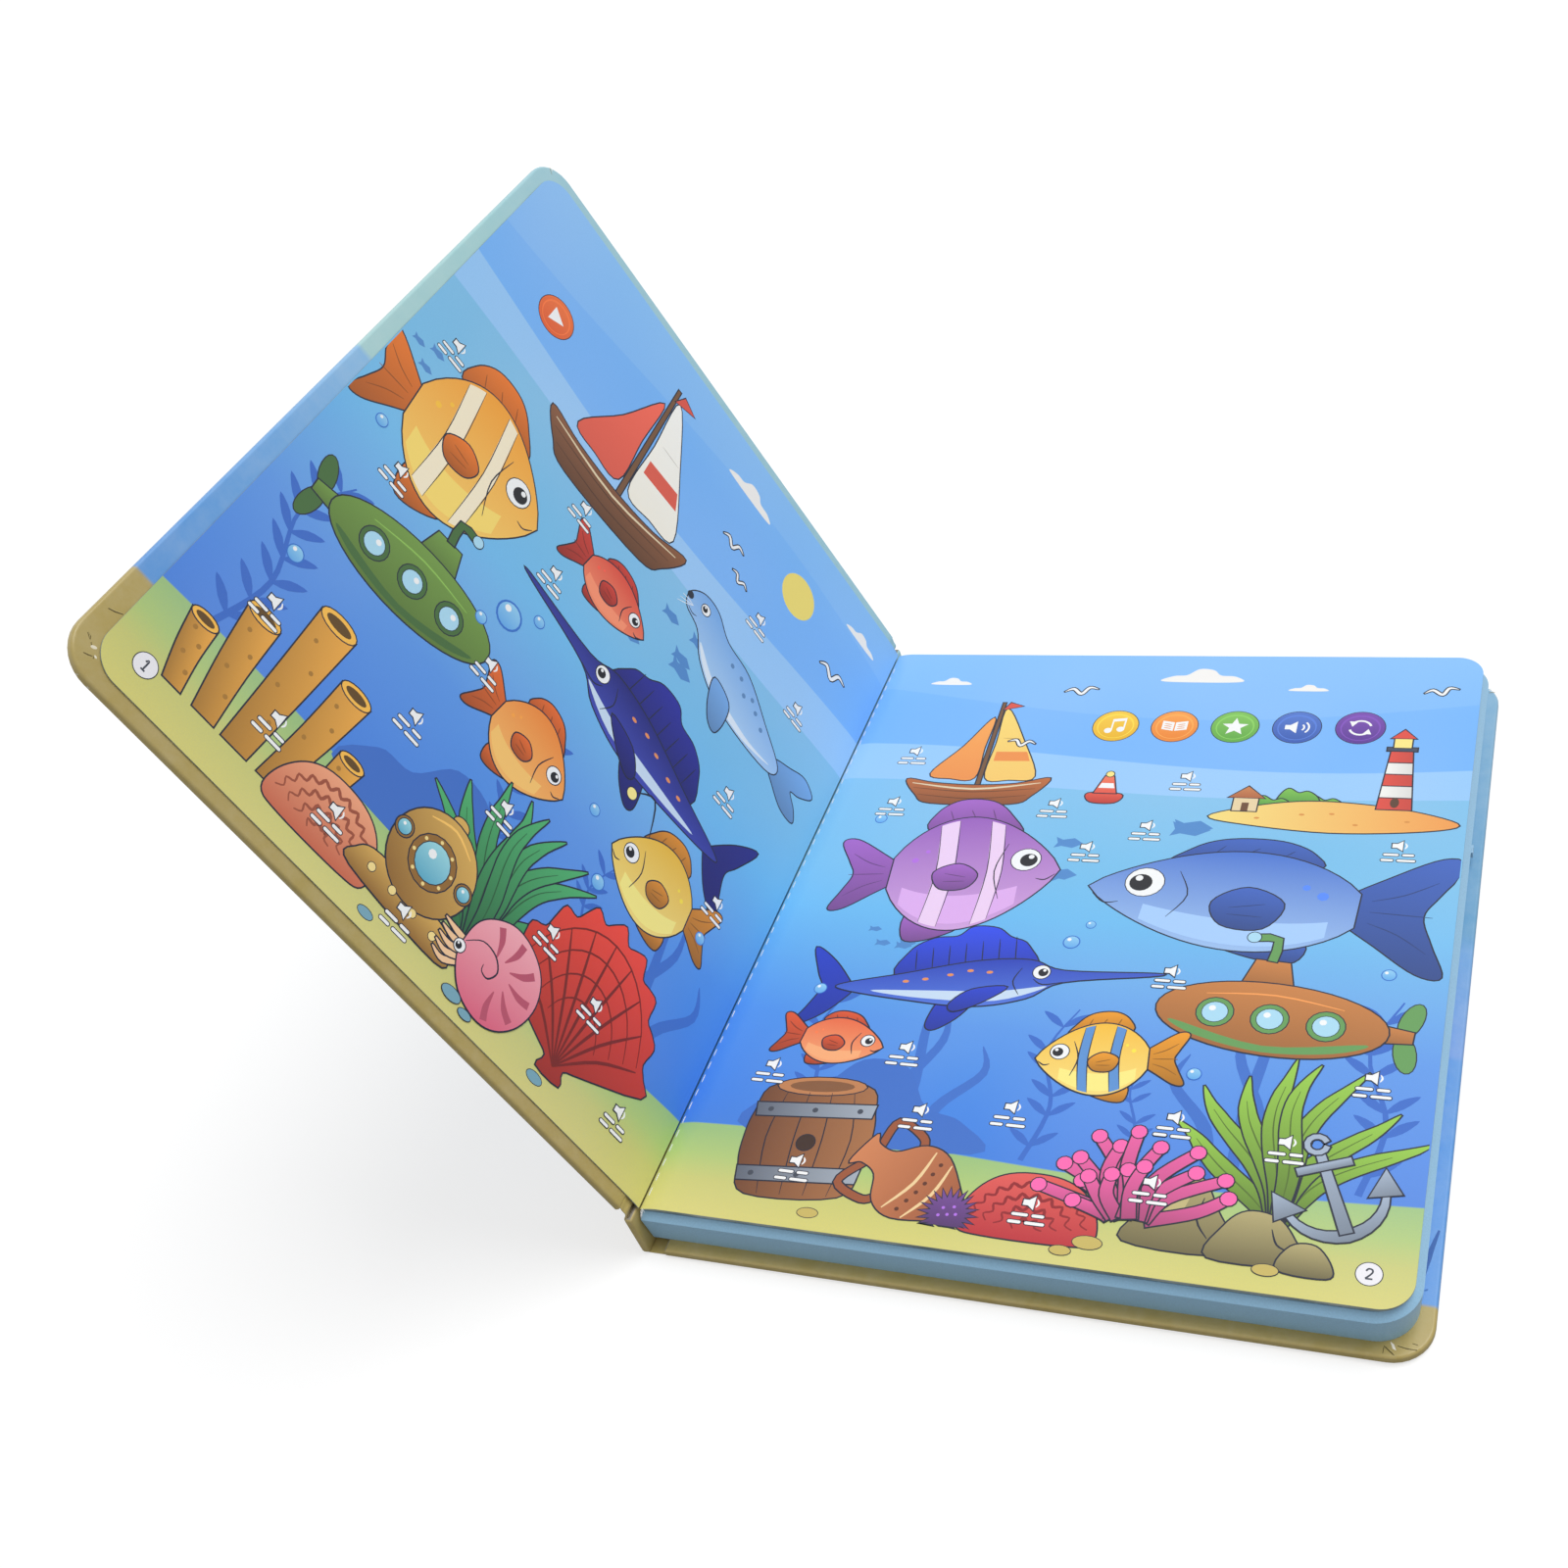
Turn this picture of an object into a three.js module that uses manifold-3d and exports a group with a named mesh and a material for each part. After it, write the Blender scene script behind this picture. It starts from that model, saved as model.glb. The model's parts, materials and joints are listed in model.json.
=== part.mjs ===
// An electronic talking book for small children, lying open on a table: a hard cover of three boards in one
// printed wrap, a thin stack of sewn leaves, and a flat plastic sound module glued to the back cover.
// Millimetres, +Z up, +X from the spine to the fore-edge, +Y from the tail to the head of the page.
// The origin is the centre of the book's underside.

import * as THREE from 'three';
import { mergeVertices } from 'three/addons/utils/BufferGeometryUtils.js';
import Module from 'manifold-3d';

const wasm = await Module();
wasm.setup();

// Pages
const pageWidth = 193;
const pageHeight = 230;
const pageRadius = 8;
const sheetThickness = 0.35;
const leafCount = 4;
const leafGap = 0.08;
const lowerLeafInset = 0.5;
const leafGrooveDepth = 1.2;
const gutterDip = 0.9;
const gutterFoldWidth = 6;
const gutterFoldSteps = 4;
const pageOneStart = -0.3;
const pageOneDip = 0.3;

// Hard cover
const coverOverhang = 4;
const coverRadius = 10;
const boardThickness = 1.9;
const frontBoardThickness = 1.6;
const spineBoardThickness = 1.5;
const wrapThickness = 0.3;
const wrapGap = 0.1;
const turnInWidth = 15;
const spineTurnInWidth = 12;
const backJointWidth = 4.5;
const frontJointWidth = 5;
const jointStripStart = 3.5;
const spineGap = 0.7;
const spineTopDrop = 0.8;
const spineFootGap = 0.3;

// How the cover stands in the photograph
const openAngle = 110.1;
const spineLean = 2.6;

// Sound module
const moduleHeight = 11;
const moduleRadius = 9.5;
const moduleFoot = 0.3;
const moduleRim = 1.5;
const rimDrop = 1.8;
const trayWall = 1.6;
const trayFloor = 1.5;
const deckThickness = 1.4;
const deckEdge = 0.3;
const fitGap = 0.3;
const touchFilmThickness = 0.2;

// Batteries, AAA size
const cellDiameter = 10.2;
const cellLength = 44.5;
const cellCount = 3;
const cellSpacing = 0.5;
const springRoom = 5;
const plateRoom = 1.5;
const bayWall = 1.4;
const bayInset = { x: 53.2, y: 70 };
const doorThickness = 1.2;
const doorTongue = 11;
const doorRadius = 2;
const doorScrewHead = 2.2;
const doorScrewShank = 0.9;
const doorScrewLength = 6.5;

// Case screws
const screwHead = 2.6;
const screwHeadHeight = 1.3;
const screwShank = 1.1;
const screwSink = 0.4;
const screwLength = 6.5;
const bossRadius = 3.2;
const padHeight = 2.7;
const screwInset = { x: 12, y: 12 };
const lowerMidScrew = { x: 109.2, y: 53 };
const upperMidScrew = { x: 111.2, y: 155 };

// Loudspeaker
const speakerRadius = 20;
const speakerInset = { x: 61.2, y: 27 };
const speakerRib = 1.2;
const magnetRadius = 9;
const magnetHeight = 3.2;
const basketDepth = 2.4;
const basketSteel = 0.6;
const coneHole = 3;
const coneRoll = 4.2;
const soundSlotCount = 9;
const soundSlotWidth = 1.6;
const soundSlotHeight = 4.4;
const soundSlotPitch = 4.2;

// Circuit board and power switch
const boardSize = { x: 44, y: 56 };
const boardClearance = 1.5;
const pinInset = 4;
const chipInset = 14;
const circuitThickness = 0.8;
const circuitLift = 0.2;
const circuitPin = 1;
const chipSize = { x: 14, y: 14, z: 1.6 };
const connectorSize = { x: 6, y: 22, z: 2.6 };
const ribbonThickness = 0.25;
const ribbonWidth = 19;
const ribbonSetback = 12;
const ribbonReach = 3.6;
const ribbonLift = 1.3;
const switchInset = 77;
const switchHeightAboveFloor = 2.2;
const switchSlot = { y: 6.8, z: 2.6 };
const switchBody = { x: 4.4, y: 9.6, z: 3 };
const knobLength = 3.2;
const knobProud = 0.7;
const leadRadius = 0.6;
const leadLift = 0.1;
// Where a lead bends, as shares of the way across and along between its two ends
const speakerLeadBends = [[12 / 61.7, 6 / 32], [21.6 / 61.7, 26 / 32], [37.6 / 61.7, 42 / 32]];
const speakerLeadEnd = 18;
const batteryLeadBends = [[13.6 / 51.7, 11 / 51], [23.6 / 51.7, 33 / 51], [37.6 / 51.7, 47 / 51]];
const batteryLeadStart = 10;
const batteryLeadEnd = 6;

// How deep a feature is rooted in what it grows from
const seam = 0.2;

// How finely round shapes are cut
const cornerSegments = 7;
const roundSegments = 24;
const smallRoundSegments = 12;

// Heights, from the table up
const coverThickness = 2 * wrapThickness + boardThickness;
const moduleBottom = coverThickness;
const moduleTop = moduleBottom + moduleHeight;
const rimHeight = moduleTop - rimDrop;
const floorTop = moduleBottom + trayFloor;
const deckUnderside = moduleTop - deckThickness;
const leavesBottom = moduleTop + touchFilmThickness;
const leavesTop = leavesBottom + leafCount * sheetThickness + (leafCount - 1) * leafGap;

// Places across the book
const spineDepth = spineGap + spineBoardThickness + wrapGap + wrapThickness;
const gutterX = -(pageWidth + coverOverhang - spineDepth) / 2;
const foreX = gutterX + pageWidth;
const halfPage = pageHeight / 2;
const halfCover = halfPage + coverOverhang;
const bayCentre = { x: gutterX + bayInset.x, y: -halfPage + bayInset.y };
const speakerCentre = { x: gutterX + speakerInset.x, y: halfPage - speakerInset.y };
const midScrews = [lowerMidScrew, upperMidScrew].map(
  ({ x, y }) => ({ x: gutterX + x, y: -halfPage + y }));
const switchPlace = halfPage - switchInset;
const trayInnerHead = halfPage + moduleFoot - trayWall;
const trayInnerFore = foreX + moduleFoot - trayWall;

// Shapes

// A page-like outline: square corners at x0, round corners at x1.
function sheetOutline(x0, x1, halfHeight, radius) {
  const shape = new THREE.Shape();
  shape.moveTo(x0, -halfHeight);
  shape.lineTo(x1 - radius, -halfHeight);
  shape.absarc(x1 - radius, -halfHeight + radius, radius, -Math.PI / 2, 0);
  shape.lineTo(x1, halfHeight - radius);
  shape.absarc(x1 - radius, halfHeight - radius, radius, 0, Math.PI / 2);
  shape.lineTo(x0, halfHeight);
  shape.closePath();
  return shape;
}

function rectangle(x0, x1, y0, y1) {
  const shape = new THREE.Shape();
  shape.moveTo(x0, y0);
  shape.lineTo(x1, y0);
  shape.lineTo(x1, y1);
  shape.lineTo(x0, y1);
  shape.closePath();
  return shape;
}

function roundedRectangle(x0, x1, y0, y1, radius) {
  const shape = new THREE.Shape();
  shape.moveTo(x0 + radius, y0);
  shape.lineTo(x1 - radius, y0);
  shape.absarc(x1 - radius, y0 + radius, radius, -Math.PI / 2, 0);
  shape.lineTo(x1, y1 - radius);
  shape.absarc(x1 - radius, y1 - radius, radius, 0, Math.PI / 2);
  shape.lineTo(x0 + radius, y1);
  shape.absarc(x0 + radius, y1 - radius, radius, Math.PI / 2, Math.PI);
  shape.lineTo(x0, y0 + radius);
  shape.absarc(x0 + radius, y0 + radius, radius, Math.PI, 1.5 * Math.PI);
  return shape;
}

// Solids

function signedVolume(position, index) {
  const a = new THREE.Vector3();
  const b = new THREE.Vector3();
  const c = new THREE.Vector3();
  let total = 0;
  for (let i = 0; i < index.length; i += 3) {
    a.fromBufferAttribute(position, index[i]);
    b.fromBufferAttribute(position, index[i + 1]);
    c.fromBufferAttribute(position, index[i + 2]);
    total += a.dot(b.cross(c));
  }
  return total / 6;
}

// Drops the triangles that collapse where a turned profile meets its axis.
function withoutSlivers(index) {
  const kept = [];
  for (let i = 0; i < index.length; i += 3) {
    const [a, b, c] = [index[i], index[i + 1], index[i + 2]];
    if (a !== b && b !== c && c !== a) {
      kept.push(a, b, c);
    }
  }
  return Uint32Array.from(kept);
}

// Turns a closed three.js geometry into a solid that can be joined and cut.
function solid(geometry) {
  const bare = geometry.clone();
  bare.deleteAttribute('normal');
  bare.deleteAttribute('uv');
  const merged = mergeVertices(bare);
  const triangles = withoutSlivers(merged.index.array);
  if (signedVolume(merged.attributes.position, triangles) < 0) {
    for (let i = 0; i < triangles.length; i += 3) {
      [triangles[i + 1], triangles[i + 2]] = [triangles[i + 2], triangles[i + 1]];
    }
  }
  const mesh = new wasm.Mesh({
    numProp: 3,
    vertProperties: Float32Array.from(merged.attributes.position.array),
    triVerts: triangles,
  });
  return new wasm.Manifold(mesh);
}

// Every face of a prism lies on exactly the height that is asked for, so that stacked pieces meet.
function prism(shape, z0, z1) {
  const settings = { depth: 1, bevelEnabled: false, curveSegments: cornerSegments };
  const geometry = new THREE.ExtrudeGeometry(shape, settings);
  const position = geometry.attributes.position;
  for (let i = 0; i < position.count; i += 1) {
    position.setZ(i, position.getZ(i) > 0.5 ? z1 : z0);
  }
  return solid(geometry);
}

function box(x0, x1, y0, y1, z0, z1) {
  return prism(rectangle(x0, x1, y0, y1), z0, z1);
}

function circlePoints(place, radius, segments) {
  const points = [];
  for (let i = 0; i < segments; i += 1) {
    const angle = (2 * Math.PI * i) / segments;
    points.push(new THREE.Vector2(place.x + radius * Math.cos(angle), place.y + radius * Math.sin(angle)));
  }
  return points;
}

function cylinder(place, radius, z0, z1, segments = smallRoundSegments) {
  return prism(new THREE.Shape(circlePoints(place, radius, segments)), z0, z1);
}

function ring(place, inner, outer, z0, z1) {
  return cylinder(place, outer, z0, z1, roundSegments)
    .subtract(cylinder(place, inner, z0 - 1, z1 + 1, roundSegments));
}

// A body turned about a vertical axis, from [radius, height] pairs. A profile that doesn't start on
// the axis closes on itself.
function turned(place, profile) {
  const points = profile.map(([r, z]) => new THREE.Vector2(r, z));
  if (points[0].x > 0) {
    points.push(points[0].clone());
  }
  const geometry = new THREE.LatheGeometry(points, roundSegments);
  geometry.rotateX(Math.PI / 2);
  geometry.translate(place.x, place.y, 0);
  return solid(geometry);
}

// A body whose side slopes from one outline to another that has as many points.
function tapered(lowShape, highShape, z0, z1) {
  const low = lowShape.getPoints(cornerSegments);
  const high = highShape.getPoints(cornerSegments);
  const closed = low[0].distanceTo(low[low.length - 1]) < 1e-6;
  if (closed) {
    low.pop();
    high.pop();
  }
  const count = low.length;
  const position = [];
  low.forEach((p) => position.push(p.x, p.y, z0));
  high.forEach((p) => position.push(p.x, p.y, z1));
  const index = [];
  for (let i = 0; i < count; i += 1) {
    const next = (i + 1) % count;
    index.push(i, next, count + next, i, count + next, count + i);
  }
  THREE.ShapeUtils.triangulateShape(low, []).forEach(([a, b, c]) => index.push(c, b, a));
  THREE.ShapeUtils.triangulateShape(high, []).forEach(([a, b, c]) => {
    index.push(count + a, count + b, count + c);
  });
  const geometry = new THREE.BufferGeometry();
  geometry.setAttribute('position', new THREE.Float32BufferAttribute(position, 3));
  geometry.setIndex(index);
  return solid(geometry);
}

// A section drawn in X and Z, drawn out along Y.
function drawnAlongY(points, y0, y1) {
  const shape = new THREE.Shape(points.map(([x, z]) => new THREE.Vector2(x, z)));
  const geometry = new THREE.ExtrudeGeometry(shape, { depth: y1 - y0, bevelEnabled: false });
  geometry.rotateX(Math.PI / 2);
  geometry.translate(0, y1, 0);
  return solid(geometry);
}

// A thin insulated lead along a smooth route.
function lead(points) {
  const route = new THREE.CatmullRomCurve3(points.map(([x, y, z]) => new THREE.Vector3(x, y, z)));
  const section = new THREE.Shape();
  section.absarc(0, 0, leadRadius, 0, 2 * Math.PI);
  const settings = { steps: 4 * points.length, extrudePath: route, curveSegments: 3 };
  return solid(new THREE.ExtrudeGeometry(section, settings));
}

// Materials

function finish(color, roughness, metalness = 0) {
  return new THREE.MeshStandardMaterial({ color, roughness, metalness });
}

const finishes = {
  printedPage: finish(0x6db4ee, 0.35),
  printedWrap: finish(0xa08f50, 0.4),
  greyBoard: finish(0xa39b8c, 0.95),
  bluePlastic: finish(0x9bc6e4, 0.45),
  film: finish(0xd9dde0, 0.3),
  adhesive: finish(0xe8e4d6, 0.8),
  circuit: finish(0x1f6b3a, 0.5),
  chip: finish(0x17181a, 0.6),
  darkPlastic: finish(0x2b2d31, 0.5),
  steel: finish(0xb9bcc0, 0.35, 1),
  cone: finish(0x35322e, 0.9),
  magnet: finish(0x55585c, 0.4, 0.8),
  cell: finish(0x2f6f9e, 0.35, 0.3),
  contact: finish(0xc9c6bd, 0.3, 1),
  lead: finish(0xb5322c, 0.6),
};

const book = new THREE.Group();

function add(parent, name, shape, material) {
  const { vertProperties, triVerts } = shape.getMesh();
  const geometry = new THREE.BufferGeometry();
  geometry.setAttribute('position', new THREE.BufferAttribute(Float32Array.from(vertProperties), 3));
  geometry.setIndex(new THREE.BufferAttribute(Uint32Array.from(triVerts), 1));
  geometry.computeVertexNormals();
  const mesh = new THREE.Mesh(geometry, material);
  mesh.name = name;
  parent.add(mesh);
}

// Battery bay, shared by the tray, the back cover and the door

const bayLength = cellLength + springRoom + plateRoom;
const bayDepth = cellCount * cellDiameter + (cellCount + 1) * cellSpacing;
const bay = {
  x0: bayCentre.x - bayLength / 2,
  x1: bayCentre.x + bayLength / 2,
  y0: bayCentre.y - bayDepth / 2,
  y1: bayCentre.y + bayDepth / 2,
};
const door = {
  x0: bay.x0 - bayWall,
  x1: bay.x1 + bayWall + doorTongue,
  y0: bay.y0 - bayWall,
  y1: bay.y1 + bayWall,
};
const doorScrewPlace = { x: bay.x1 + bayWall + doorTongue / 2, y: bayCentre.y };
const doorTop = wrapThickness + doorThickness;
const bayWindow = roundedRectangle(
  door.x0 - fitGap, door.x1 + fitGap, door.y0 - fitGap, door.y1 + fitGap, doorRadius + fitGap);
const windowCut = prism(bayWindow, -1, floorTop + 1);

// Covers

const coverForeX = foreX + coverOverhang;
const backBoardX = gutterX + backJointWidth;

// A wrap round a board: outer sheet, edge walls and turn-ins on three sides, open towards the spine.
// Heights run from the outer face up to the inner face; the board lies between them with a small gap.
function foldedWrap(openX, foldX, halfHeight, radius, thickness, turnIn) {
  const outer = prism(sheetOutline(openX, foldX, halfHeight, radius), 0, thickness);
  const edge = wrapThickness;
  const between = prism(
    sheetOutline(openX - 1, foldX - edge, halfHeight - edge, radius - edge),
    wrapThickness, thickness - wrapThickness);
  const mouth = prism(
    sheetOutline(openX - 1, foldX - turnIn, halfHeight - turnIn, 1),
    thickness - 2 * wrapThickness, thickness + 1);
  return outer.subtract(between).subtract(mouth);
}

const backWrap = foldedWrap(backBoardX, coverForeX, halfCover, coverRadius, coverThickness, turnInWidth)
  .add(box(gutterX - spineGap + 2 * spineFootGap, backBoardX + seam, -halfCover, halfCover,
    0, wrapThickness))
  .subtract(windowCut);
add(book, 'back_cover_wrap', backWrap, finishes.printedWrap);

const boardInset = wrapThickness + wrapGap;
const backBoard = prism(
  sheetOutline(backBoardX, coverForeX - boardInset, halfCover - boardInset, coverRadius - boardInset),
  wrapThickness, wrapThickness + boardThickness).subtract(windowCut);
add(book, 'back_board', backBoard, finishes.greyBoard);

const adhesive = prism(
  sheetOutline(
    backBoardX + 2, coverForeX - turnInWidth - wrapGap, halfCover - turnInWidth - wrapGap, 1),
  wrapThickness + boardThickness, coverThickness).subtract(windowCut);
add(book, 'adhesive_sheet', adhesive, finishes.adhesive);

// The spine pivots about the foot of its board and leans outwards as the book opens.
const spine = new THREE.Group();
const spineMiddle = gutterX - spineGap - spineBoardThickness / 2;
spine.position.set(spineMiddle, 0, spineFootGap);
spine.rotation.y = THREE.MathUtils.degToRad(-spineLean);
book.add(spine);

const spineHeight = leavesTop - spineTopDrop - spineFootGap;
const halfSpine = spineBoardThickness / 2;
const spineBoard = box(
  -halfSpine, halfSpine, -halfCover + boardInset, halfCover - boardInset, 0, spineHeight);
add(spine, 'spine_board', spineBoard, finishes.greyBoard);

const spineWrapInner = -halfSpine - wrapGap;
const spineWrapOuter = spineWrapInner - wrapThickness;
const spineLining = halfSpine + wrapGap;
const spineSheet = box(spineWrapOuter, spineWrapInner, -halfCover, halfCover, 0, spineHeight);
let spineWrap = spineSheet;
[-1, 1].forEach((side) => {
  const end = side * halfCover;
  const endInner = side * (halfCover - wrapThickness);
  const fold = side * (halfCover - spineTurnInWidth);
  spineWrap = spineWrap
    .add(box(spineWrapOuter, spineLining + wrapThickness,
      Math.min(end, endInner), Math.max(end, endInner), 0, spineHeight))
    .add(box(spineLining, spineLining + wrapThickness,
      Math.min(end, fold), Math.max(end, fold), 0, spineHeight));
});
add(spine, 'spine_wrap', spineWrap, finishes.printedWrap);

// The front cover is drawn closed, with page 1's face at height 0 and the cover behind it above,
// and then turned open about the gutter.
const frontCover = new THREE.Group();
frontCover.position.set(gutterX, 0, leavesTop);
frontCover.rotation.y = THREE.MathUtils.degToRad(-openAngle);
book.add(frontCover);

// The paper bends back into the gutter over its last few millimetres.
function foldHeight(x, dip) {
  const t = Math.min(1, Math.max(0, 1 - x / gutterFoldWidth));
  return dip * t * t;
}

function foldProfile(start, dip, direction) {
  const points = [];
  for (let i = 0; i <= gutterFoldSteps; i += 1) {
    const x = start + ((gutterFoldWidth - start) * i) / gutterFoldSteps;
    points.push([x, direction * foldHeight(x, dip)]);
  }
  return points;
}

const pageOneFold = foldProfile(pageOneStart, pageOneDip, 1);
const pageOneBack = pageOneFold.map(([x, z]) => [x, z + sheetThickness]).reverse();
const pageOneSection = [
  ...pageOneFold, [pageWidth + 1, 0], [pageWidth + 1, sheetThickness], ...pageOneBack];
const pageOne = drawnAlongY(pageOneSection, -halfPage, halfPage)
  .intersect(prism(sheetOutline(pageOneStart - 1, pageWidth, halfPage, pageRadius), -1, 3));
add(frontCover, 'page_1_sheet', pageOne, finishes.printedPage);

const turnInFace = sheetThickness + wrapGap;
const frontBoardFace = turnInFace + wrapThickness + wrapGap;
const frontThickness = 2 * (wrapThickness + wrapGap) + frontBoardThickness;
const frontForeX = pageWidth + coverOverhang;
const frontWrapFlat = foldedWrap(
  frontJointWidth, frontForeX, halfCover, coverRadius, frontThickness, turnInWidth);
const frontWrapPlaced = frontWrapFlat.mirror([0, 0, 1]).translate([0, 0, turnInFace + frontThickness]);
const jointStrip = box(
  jointStripStart, frontJointWidth, -halfCover, halfCover, turnInFace, turnInFace + wrapThickness);
const grooveWall = box(
  frontJointWidth - wrapThickness, frontJointWidth + wrapGap / 2, -halfCover, halfCover,
  turnInFace, turnInFace + frontThickness);
const frontWrap = frontWrapPlaced.add(jointStrip).add(grooveWall);
add(frontCover, 'front_cover_wrap', frontWrap, finishes.printedWrap);

const frontBoard = prism(
  sheetOutline(frontJointWidth + wrapGap, frontForeX - boardInset, halfCover - boardInset,
    coverRadius - boardInset),
  frontBoardFace, frontBoardFace + frontBoardThickness);
add(frontCover, 'front_board', frontBoard, finishes.greyBoard);

const frontFilm = prism(
  sheetOutline(frontJointWidth + wrapGap + 1, frontForeX - turnInWidth - wrapGap,
    halfCover - turnInWidth - wrapGap, 1),
  turnInFace, turnInFace + touchFilmThickness);
add(frontCover, 'front_touch_film', frontFilm, finishes.film);

// Leaves, one solid, with page 2 on top

function leafOutline(inset, z0, z1) {
  return prism(sheetOutline(gutterX, foreX - inset, halfPage - inset, pageRadius - inset), z0, z1);
}

let leaves = leafOutline(0, leavesTop - sheetThickness, leavesTop);
for (let i = 1; i < leafCount; i += 1) {
  const top = leavesTop - i * (sheetThickness + leafGap);
  leaves = leaves
    .add(leafOutline(lowerLeafInset, top - sheetThickness, top))
    .add(leafOutline(lowerLeafInset + leafGrooveDepth, top - leafGap, top + 2 * leafGap));
}
const gutterCut = foldProfile(0, gutterDip, -1).map(([x, z]) => [gutterX + x, leavesTop + z]);
const leavesSection = [
  ...gutterCut, [gutterX + gutterFoldWidth, leavesTop + 1], [foreX + 1, leavesTop + 1],
  [foreX + 1, leavesBottom - 1], [gutterX, leavesBottom - 1]];
leaves = leaves.intersect(drawnAlongY(leavesSection, -halfPage - 1, halfPage + 1));
add(book, 'page_stack', leaves, finishes.printedPage);

// Sound module

function moduleOutline(overhang) {
  return sheetOutline(gutterX, foreX + overhang, halfPage + overhang, moduleRadius + overhang);
}

const screwPlaces = [
  { x: gutterX + screwInset.x, y: -halfPage + screwInset.y },
  { x: gutterX + screwInset.x, y: halfPage - screwInset.y },
  { x: foreX - screwInset.x, y: -halfPage + screwInset.y },
  { x: foreX - screwInset.x, y: halfPage - screwInset.y },
  ...midScrews,
];

const padTop = moduleBottom + padHeight;
const screwHeadTop = moduleBottom + screwSink + screwHeadHeight;
const circuit = {
  x0: trayInnerFore - boardClearance - boardSize.x,
  x1: trayInnerFore - boardClearance,
  y0: switchPlace - boardSize.y / 2,
  y1: switchPlace + boardSize.y / 2,
  z0: floorTop + circuitLift,
  z1: floorTop + circuitLift + circuitThickness,
};
const pinPlaces = [
  { x: circuit.x0 + pinInset, y: circuit.y0 + pinInset },
  { x: circuit.x1 - pinInset, y: circuit.y0 + pinInset },
  { x: circuit.x0 + pinInset, y: circuit.y1 - pinInset },
  { x: circuit.x1 - pinInset, y: circuit.y1 - pinInset },
];

const knobZ = floorTop + switchHeightAboveFloor;
const slotLow = switchPlace - switchSlot.y / 2;
const slotHigh = switchPlace + switchSlot.y / 2;
const bayTop = deckUnderside - fitGap;

let tray = tapered(moduleOutline(moduleFoot), moduleOutline(moduleRim), moduleBottom, rimHeight)
  .subtract(prism(
    sheetOutline(gutterX + trayWall, trayInnerFore, trayInnerHead, moduleRadius - trayWall),
    floorTop, rimHeight + 1))
  .add(prism(roundedRectangle(door.x0, door.x1, door.y0, door.y1, doorRadius), doorTop, floorTop - seam))
  .add(box(bay.x0 - bayWall, bay.x1 + bayWall, bay.y0 - bayWall, bay.y1 + bayWall, floorTop - seam, bayTop))
  .add(cylinder(doorScrewPlace, bossRadius, floorTop - seam, floorTop + doorScrewLength));
tray = tray
  .subtract(box(bay.x0, bay.x1, bay.y0, bay.y1, 0, bayTop + 1))
  .subtract(cylinder(
    doorScrewPlace, doorScrewShank + fitGap, 0, floorTop + doorScrewLength - trayWall));

screwPlaces.forEach((place) => {
  tray = tray
    .add(cylinder(place, bossRadius + trayWall / 2, moduleBottom + seam, padTop))
    .subtract(cylinder(place, screwHead + fitGap, moduleBottom - 1, screwHeadTop))
    .subtract(cylinder(place, screwShank + fitGap, moduleBottom, padTop + 1));
});

pinPlaces.forEach((place) => {
  tray = tray
    .add(cylinder(place, 2 * circuitPin, floorTop - seam, circuit.z0, 12))
    .add(cylinder(place, circuitPin, floorTop - seam, circuit.z1 + circuitPin, 12));
});

tray = tray
  .add(ring(speakerCentre, speakerRadius + fitGap, speakerRadius + fitGap + speakerRib, floorTop - seam,
    floorTop + magnetHeight + basketDepth))
  .subtract(box(foreX - trayWall - 4, foreX + 5, slotLow, slotHigh,
    knobZ - switchSlot.z / 2, knobZ + switchSlot.z / 2));

for (let i = 0; i < soundSlotCount; i += 1) {
  const x = speakerCentre.x + (i - (soundSlotCount - 1) / 2) * soundSlotPitch;
  tray = tray.subtract(box(x - soundSlotWidth / 2, x + soundSlotWidth / 2, trayInnerHead - 1,
    halfPage + moduleRim + 1, floorTop + 1, floorTop + 1 + soundSlotHeight));
}
add(book, 'base_shell', tray, finishes.bluePlastic);

const ribbonPlace = { x: circuit.x0 - ribbonSetback, y: switchPlace };
const ribbonX = ribbonPlace.x - ribbonThickness / 2;
let deck = tapered(moduleOutline(moduleRim), moduleOutline(-deckEdge), rimHeight, moduleTop)
  .subtract(prism(
    sheetOutline(gutterX + trayWall + 1, trayInnerFore - 1, trayInnerHead - 1, moduleRadius - trayWall),
    rimHeight - 1, deckUnderside));
screwPlaces.forEach((place) => {
  deck = deck
    .add(cylinder(place, bossRadius, padTop, deckUnderside + seam))
    .subtract(cylinder(place, screwShank + fitGap, padTop - 1, screwHeadTop + screwLength + fitGap));
});
deck = deck.subtract(box(ribbonPlace.x - 1, ribbonPlace.x + 1, ribbonPlace.y - connectorSize.y / 2,
  ribbonPlace.y + connectorSize.y / 2, rimHeight - 1, moduleTop + 1));
add(book, 'deck_shell', deck, finishes.bluePlastic);

const film = prism(
  sheetOutline(gutterX + 4, foreX - 3, halfPage - 3, pageRadius - 3), moduleTop, leavesBottom)
  .subtract(box(ribbonX - fitGap, ribbonX + ribbonThickness + fitGap,
    ribbonPlace.y - ribbonWidth / 2 - fitGap, ribbonPlace.y + ribbonWidth / 2 + fitGap,
    moduleTop - 1, leavesBottom + 1));
add(book, 'touch_film', film, finishes.film);

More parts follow.
